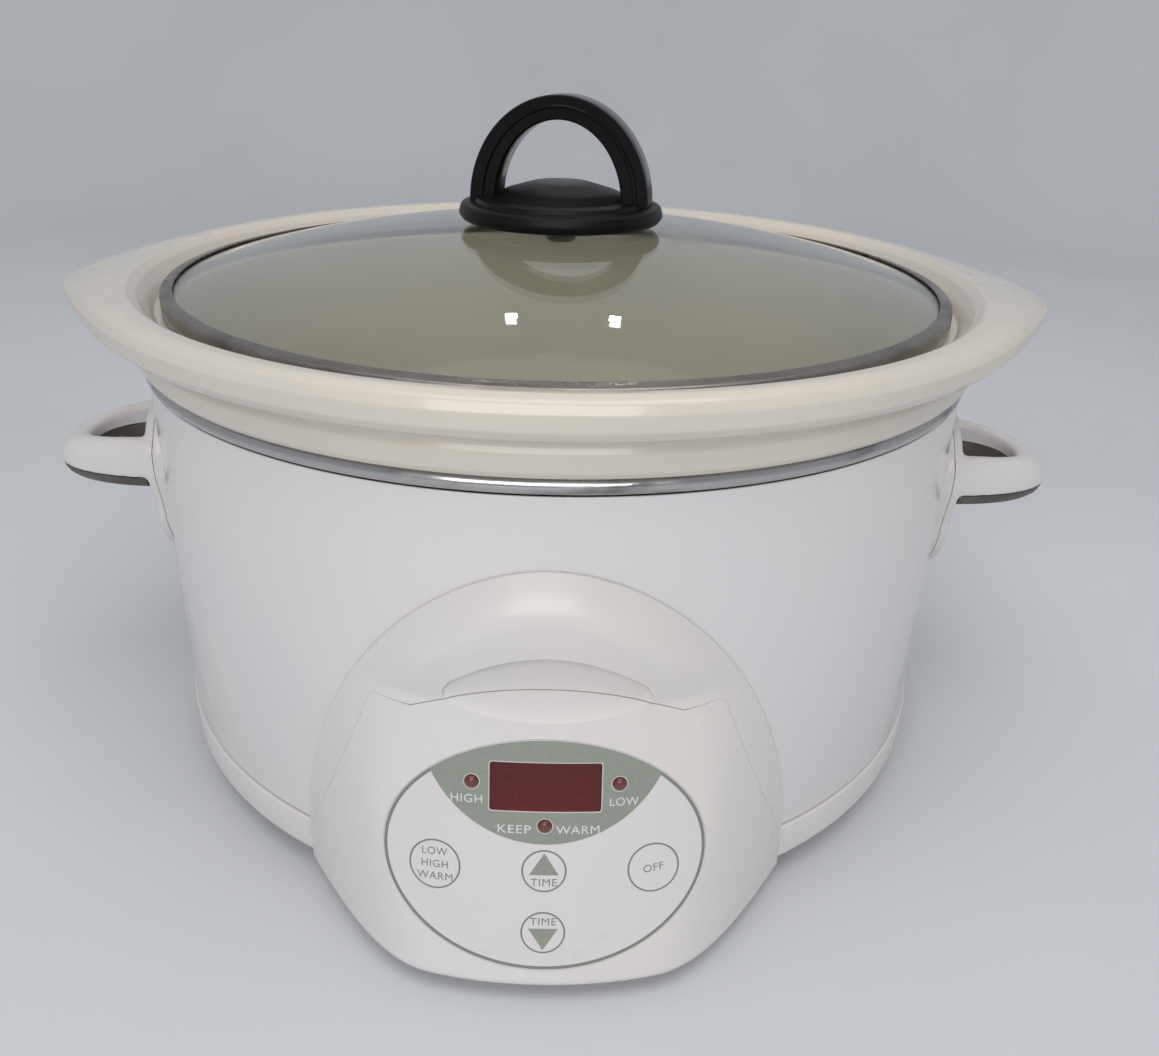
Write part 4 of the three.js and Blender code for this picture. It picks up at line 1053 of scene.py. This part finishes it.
def seam_height(x):
    return SEAM_HEIGHT - SEAM_ARC_FALL * x ** 2


def seam_prism(front_gap, side_gap):
    """Front elevation of the lower half: the seam crosses the front in an arc and runs down each side."""
    foot = SEAM_FOOT + side_gap
    shoulder, shoulder_height = SEAM_SHOULDER[0] + side_gap, SEAM_SHOULDER[1] + side_gap
    floor = SKIRT_TOP + side_gap
    arc = [SEAM_ARC_HALF * (2 * t - 1) for t in fractions(48)]
    outline = [(-foot, floor, 0), (-shoulder, shoulder_height, 3)]
    outline += [(x, seam_height(x) + front_gap, 0) for x in arc]
    outline += [(shoulder, shoulder_height, 3), (foot, floor, 0)]
    outline += [(100, floor, 0), (100, -10, 0), (-100, -10, 0), (-100, floor, 0)]
    solid = prism(rounded(outline), 100, 200)
    return moved(solid, Matrix.Rotation(radians(90), 4, "X"))


def scoop(shift):
    """The thumb scoop: a lens across the seam whose floor carries the lower face on up under the hood."""
    across = [SCOOP_HALF_WIDTH * sin(pi * (t - 0.5)) for t in fractions(96)]

    def corner(x):
        beyond = clamp(abs(x) - SCOOP_HALF_WIDTH + SCOOP_CORNER, 0, SCOOP_CORNER)
        return SCOOP_CORNER - sqrt(SCOOP_CORNER ** 2 - beyond ** 2)

    def lower(x):
        return 81.2 + 0.0046 * x ** 2 + corner(x)

    def upper(x):
        return 102.7 - 0.0139 * x ** 2 - corner(x)

    def floor(x, z):
        along = clamp((z - lower(x)) / 8, 0, 1)
        line = POD_FRONT - FACE_SLOPE * (z - POD_BOTTOM) - face_drop(x)
        return x, -(line - 0.9 * along * (2 - along) + 0.1) + shift, z

    outline = [(x, lower(x)) for x in across] + [(x, upper(x)) for x in reversed(across)]
    rings = [k / 20 for k in range(1, 21)]
    return slab(outline, (0, 92), rings, lambda x, z: (x, -(HOOD_FRONT + 20), z), floor)


def on_face():
    """Places a shape drawn in the face's own plane (x across, y up, z out) on the pod."""
    depth = POD_FRONT - FACE_SLOPE * (FACE_CENTRE_HEIGHT - POD_BOTTOM)
    lean = Matrix.Rotation(pi / 2 - FACE_LEAN, 4, "X")
    return Matrix.Translation((0, -depth, FACE_CENTRE_HEIGHT)) @ lean


def face_level(x):
    return -face_drop(x) * cos(FACE_LEAN)


def filled(curve, back, front):
    """A flat slab from a filled 2D curve."""
    curve.dimensions = "2D"
    curve.fill_mode = "BOTH"
    curve.extrude = (front - back) / 2
    return moved(baked(linked("flat", curve)), Matrix.Translation((0, 0, (front + back) / 2)))


def bent(mesh):
    """Cuts a flat shape into strips, bends them to the face and puts them in place on the pod."""
    work = bmesh.new()
    work.from_mesh(mesh)
    bmesh.ops.remove_doubles(work, verts=work.verts, dist=1e-5)
    low = min(v.co.x for v in work.verts)
    high = max(v.co.x for v in work.verts)
    strip = 2
    for k in range(math.ceil(low / strip), math.floor(high / strip) + 1):
        everything = work.verts[:] + work.edges[:] + work.faces[:]
        bmesh.ops.bisect_plane(work, geom=everything, plane_co=(k * strip, 0, 0), plane_no=(1, 0, 0))
    for v in work.verts:
        v.co.z += face_level(v.co.x)
    work.to_mesh(mesh)
    work.free()
    return moved(mesh, on_face())


def flat_curve(*outlines):
    curve = bpy.data.curves.new("outline", "CURVE")
    for outline in outlines:
        spline = curve.splines.new("POLY")
        spline.points.add(len(outline) - 1)
        for point, (x, y) in zip(spline.points, outline):
            point.co = (x, y, 0, 1)
        spline.use_cyclic_u = True
    return curve


def face_slab(back, front, *outlines):
    return bent(filled(flat_curve(*outlines), back, front))


def printed(*outlines):
    """Ink on the face."""
    return face_slab(INK_BACK, INK_FRONT, *outlines)


def word(text, x, y, width, height, turn=0):
    """A word in capitals, stretched to the given width and cap height, centred on a point."""
    curve = bpy.data.curves.new("word", "FONT")
    curve.body = text
    curve.space_character = 1.08
    mesh = filled(curve, INK_BACK, INK_FRONT)
    xs = [v.co.x for v in mesh.vertices]
    ys = [v.co.y for v in mesh.vertices]
    scale = Matrix.Diagonal((width / (max(xs) - min(xs)), height / (max(ys) - min(ys)), 1, 1))
    centre = Matrix.Translation((-(max(xs) + min(xs)) / 2, -(max(ys) + min(ys)) / 2, 0))
    spin = Matrix.Rotation(radians(turn), 4, "Z")
    mesh.transform(Matrix.Translation((x, y, 0)) @ spin @ scale @ centre)
    return bent(mesh)


def window_outline(grow):
    corners = [(sx * (WINDOW_HALF_WIDTH + grow), WINDOW_V + sy * (WINDOW_HALF_HEIGHT + grow), 0.7)
               for sx, sy in ((-1, -1), (1, -1), (1, 1), (-1, 1))]
    return rounded(corners, steps=4)


def lamp_outlines(grow):
    return [circle(LED_RADIUS + grow, SMALL, x, v) for x, v in LEDS.values()]


def oval(inset):
    """The film's outline, drawn in by an inset."""
    return ellipse(OVERLAY_HALF_WIDTH - inset, OVERLAY_HALF_HEIGHT - inset, ROUND)


def face_holes(grow=FILM_GAP):
    pads = [circle(radius + grow, MEDIUM, x, v) for x, v, radius in BUTTONS.values()]
    return pads + lamp_outlines(grow) + [window_outline(grow)]


def make_pod():
    outer = pod_solid(0, POD_BOTTOM, POD_BACK, 56, 2)
    cavity = cut(pod_solid(POD_WALL, POD_FLOOR, CAVITY_BACK, 20, 1), scoop(POD_WALL))
    skirt = lathe([
        (FLANGE_INNER_RADIUS, SKIRT_BOTTOM, 0.3), (SKIRT_RADIUS, SKIRT_BOTTOM, 3),
        (SKIRT_RADIUS, SKIRT_TOP, 0.5), (SKIRT_RADIUS - 4, SKIRT_TOP, 0), (SKIRT_RADIUS - 4, FLANGE_TOP, 0),
        (FLANGE_INNER_RADIUS, FLANGE_TOP, 0.3)])
    lower = common(outer.copy(), seam_prism(0, 0))
    inside_skirt = drum(SKIRT_RADIUS - 3, FLANGE_TOP, 40)
    over_wrap = drum(WRAP_RADIUS + GAP, SKIRT_TOP - 0.05, 200)
    recess = face_slab(-OVERLAY_THICKNESS - GAP, 6, oval(-FILM_GAP))
    holes = [face_slab(-20, 10, outline) for outline in face_holes()]
    screws = posts(SCREW_HOLE, SCREW_RING, SCREW_ANGLES)
    stems = posts(STEM_HOLE, FOOT_RING, FOOT_ANGLES)
    bush = rod(5.2, (0, 120, CORD_HEIGHT), 50, (0, 1, 0))
    housing = cut(union(skirt, lower), inside_skirt, cavity, over_wrap, scoop(0), recess, bush,
                  *holes, *screws, *stems)
    piece("lower_moulding", main_body(housing), "white_plastic", WHITE, ["base_housing"], crease=30)

    around_wrap = drum(WRAP_RADIUS + GAP, 0, 200)
    hood = cut(outer, cavity, seam_prism(GAP, SEAM_SIDE_GAP), around_wrap, scoop(0))
    piece("upper_moulding", main_body(hood), "white_plastic", WHITE, ["control_hood"], crease=30)


# ---- controls


def crescent(edge):
    """The dark field of the film: the ellipse's top down to an arc under the lamps."""
    tip_x, bottom_v = 32.5, 3.8
    half_width, half_height = OVERLAY_HALF_WIDTH - edge, OVERLAY_HALF_HEIGHT - edge
    tip_angle = acos(tip_x / half_width)
    tip_v = half_height * sin(tip_angle)
    steps = 64
    upper = []
    for t in fractions(steps):
        angle = tip_angle + (pi - 2 * tip_angle) * t
        upper.append((half_width * cos(angle), half_height * sin(angle)))
    rise = tip_v - bottom_v
    radius = (tip_x ** 2 + rise ** 2) / (2 * rise)
    sweep = asin(tip_x / radius)
    lower = []
    for k in range(1, steps):
        angle = sweep * (2 * k / steps - 1)
        lower.append((radius * sin(angle), bottom_v + radius * (1 - cos(angle))))
    return upper + lower


def make_film():
    """The film and its print; the words lie on top of the dark field's ink."""
    film = face_slab(-OVERLAY_THICKNESS, 0, oval(0), *face_holes())
    piece("control_film", film, "panel_film", FILM, ["panel_overlay"])
    margin = 0.35
    field = printed(crescent(margin), window_outline(margin), *lamp_outlines(margin))
    piece("film_dark_field", field, "panel_film", INK_GREEN)
    inset = 0.25
    line = 0.95
    border = face_slab(INK_BACK, INK_FRONT - 0.01, oval(inset), oval(inset + line))
    piece("film_border_line", border, "panel_film", INK_GREY)
    labels = [
        ("HIGH", -22, 16.5, 8.9, 2.4), ("LOW", 22, 16.3, 8.1, 2.4),
        ("KEEP", -8.5, 8.2, 9.3, 2.4), ("WARM", 9.2, 8.2, 12.1, 2.4),
    ]
    out = Matrix.Translation(on_face().to_3x3() @ Vector((0, 0, INK_FRONT)))
    for text, *place in labels:
        mesh = moved(word(text, *place), out)
        piece(f"film_word_{text.lower()}", mesh, "panel_film", INK_PALE)


def make_buttons():
    triangle = {"time_up": 1, "time_down": -1}
    words = {
        "mode": [("LOW", 3.9, 7.3), ("HIGH", 0.1, 7.7), ("WARM", -3.6, 10.3)],
        "time_up": [("TIME", -3.4, 7.4)],
        "time_down": [("TIME", 3.4, 7.4)],
        "off": [("OFF", 0, 5.8)],
    }
    for name, (x, v, radius) in BUTTONS.items():
        body = f"button_{name}"
        outer = circle(radius, MEDIUM, x, v)
        line = printed(outer, circle(radius - LINE_WIDTH, MEDIUM, x, v))
        piece(f"pad_{name}", face_slab(BUTTON_BACK, 0, outer), "panel_film", FILM, [body], body)
        piece(f"pad_line_{name}", line, "panel_film", INK_GREY, body=body)
        tilt = 8 if name == "off" else 0
        for i, (text, up, width) in enumerate(words[name], 1):
            mesh = word(text, x, v + up, width, 2.2, tilt)
            piece(f"pad_word_{name}_{i}", mesh, "panel_film", INK_GREY, body=body)
        if name in triangle:
            way = triangle[name]
            foot, tip = v - 1.2 * way, v + 5.4 * way
            arrow = printed([(x - 4.2, foot), (x + 4.2, foot), (x, tip)])
            piece(f"pad_arrow_{name}", arrow, "panel_film", INK_GREEN, body=body)


def digit_segments(x, y, width, height, stroke):
    """The seven bars of one digit, as outlines."""
    half = height / 2
    bars = []
    for level in (y, y + half, y + height):
        bars.append((x + stroke / 2, level - stroke / 2, x + width - stroke / 2, level + stroke / 2))
    for side in (x, x + width):
        for level in (y, y + half):
            low, high = level + stroke / 2 + 0.1, level + half - stroke / 2 - 0.1
            bars.append((side - stroke / 2, low, side + stroke / 2, high))
    return [[(a, b), (c, b), (c, d), (a, d)] for a, b, c, d in bars]


def make_display():
    pane = face_slab(-WINDOW_THICKNESS, 0, window_outline(0))
    piece("red_pane", pane, "red_acrylic", RED, ["display_window"])
    bars = []
    digit_width, digit_height, pitch = 4.4, 8.4, 7.1
    for k in range(4):
        left = (k - 1.5) * pitch - digit_width / 2
        bars += digit_segments(left, WINDOW_V - digit_height / 2, digit_width, digit_height, 0.9)
    back = -WINDOW_THICKNESS - GAP - 0.1
    joined = bmesh.new()
    for bar in bars:
        joined.from_mesh(filled(flat_curve(bar), back, back + 0.25))
    mesh = bpy.data.meshes.new("digits")
    joined.to_mesh(mesh)
    joined.free()
    piece("display_digits", moved(mesh, on_face()), "black_epoxy", DIGIT_GREY)


def make_lamps():
    for name, (x, v) in LEDS.items():
        top = face_level(x)
        lens = lathe([
            (0, BOARD_FACE, 0), (LED_RADIUS, BOARD_FACE, 0.2), (LED_RADIUS, top - 0.5, 0.3),
            (LED_RADIUS * 0.84, top + 0.55, 1.2), (LED_RADIUS * 0.45, top + 1.0, 1.2),
            (0, top + 1.1, 0)], SMALL)
        moved(lens, on_face() @ Matrix.Translation((x, v, 0)))
        piece(f"lamp_{name}", lens, "clear_epoxy", EPOXY, [f"led_{name}"])


# ---- hidden parts keep their CAD shape

SIDES = ("left", "right")
HIDDEN = {
    MICA: ["heater_band"],
    MILL_STEEL: [
        "pan_nut", "temperature_sensor",
        *(f"{part}_{side}" for part in ("hood_screw", "board_screw") for side in SIDES),
        *(f"handle_{side}_screw_{end}" for side in SIDES for end in ("upper", "lower"))],
    PLATED: ["thermal_fuse"],
    BOARD: ["control_board", "power_board"],
    MODULE_GREY: ["led_display"],
    DARK_EPOXY: ["switch_mode", "switch_time_up", "switch_time_down", "switch_off", "power_capacitor"],
    RELAY_BLUE: ["power_relay"],
    SLEEVE: ["heater_lead_left", "heater_lead_right"],
}


def finish_hidden():
    for material, nodes in HIDDEN.items():
        for node in nodes:
            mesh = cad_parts[node].data
            mesh.materials.clear()
            mesh.materials.append(material)


# ---- stage, light and camera


def make_stage():
    """A pale floor that curves up into a far wall all round."""
    radius, wall, curve = 1.7, 1.9, 0.5
    profile = [(0.0, 0.0), (radius - curve, 0.0)]
    steps = 16
    for k in range(1, steps + 1):
        angle = pi / 2 * k / steps
        profile.append((radius - curve + curve * sin(angle), curve * (1 - cos(angle))))
    profile.append((radius, wall))
    vertices = [(x, y, z) for r, z in profile for x, y in circle(r, MEDIUM)]
    rows = even_rows(len(profile), MEDIUM)
    mesh = bpy.data.meshes.new("floor")
    mesh.from_pydata(vertices, [], bands(zip(rows, rows[1:])))
    mesh.shade_smooth()
    mesh.materials.append(
        layered("pale_floor", (214, 217, 221), 0.55, [((3, 2), (210, 213, 217))], [((20,), 0.5, 0.62)]))
    linked("floor", mesh)


def area_lamp(name, place, target, size, power, colour=(1, 1, 1)):
    data = bpy.data.lights.new(name, "AREA")
    data.shape = "RECTANGLE"
    data.size, data.size_y = size
    data.energy = power
    data.color = colour
    light = linked(name, data)
    light.location = place
    light.rotation_euler = (Vector(target) - Vector(place)).to_track_quat("-Z", "Y").to_euler()


def make_light():
    world = bpy.data.worlds.new("studio")
    world.use_nodes = True
    background = world.node_tree.nodes["Background"]
    background.inputs["Color"].default_value = (1, 0.985, 0.985, 1)
    background.inputs["Strength"].default_value = 0.6
    bpy.context.scene.world = world
    middle = (0, 0, 0.12)
    area_lamp("overhead", (0.05, -0.35, 1.4), middle, (1.2, 0.9), 5.6, (1, 0.99, 0.98))
    area_lamp("front_window", (-0.1, -1.25, 0.75), middle, (1.1, 0.7), 6.6, (1, 0.985, 0.975))
    for side in (-1, 1):
        place = (side * 0.11, 0.95, 0.95)
        area_lamp(f"back_lamp_{side}", place, (0, -0.06, 0.18), (0.024, 0.024), 0.1)


def make_camera():
    """The camera stands in front, a little above the rim, and looks down at the pod."""
    place = Vector((9.9, -384.1, 252.3))
    tilt, roll, yaw = radians(25.61), radians(1.656), radians(-0.95)
    swing = Matrix.Rotation(yaw, 4, "Z")
    aim = swing @ Matrix.Rotation(pi / 2 - tilt, 4, "X") @ Matrix.Rotation(roll, 4, "Z")
    data = bpy.data.cameras.new("camera")
    data.lens = 32.15
    data.sensor_width = 36
    data.clip_start = 0.01
    camera = linked("camera", data)
    camera.matrix_world = Matrix.Translation(AXIS + swing @ place * MM) @ aim
    bpy.context.scene.camera = camera


bpy.context.scene.view_settings.view_transform = "Standard"
make_camera()
make_stage()
make_light()
make_crock()
make_glass()
make_band()
make_knob()
make_wrap()
make_ring()
make_liner()
make_underside()
make_gland()
make_handles()
make_pod()
make_film()
make_buttons()
make_display()
make_lamps()
finish_hidden()
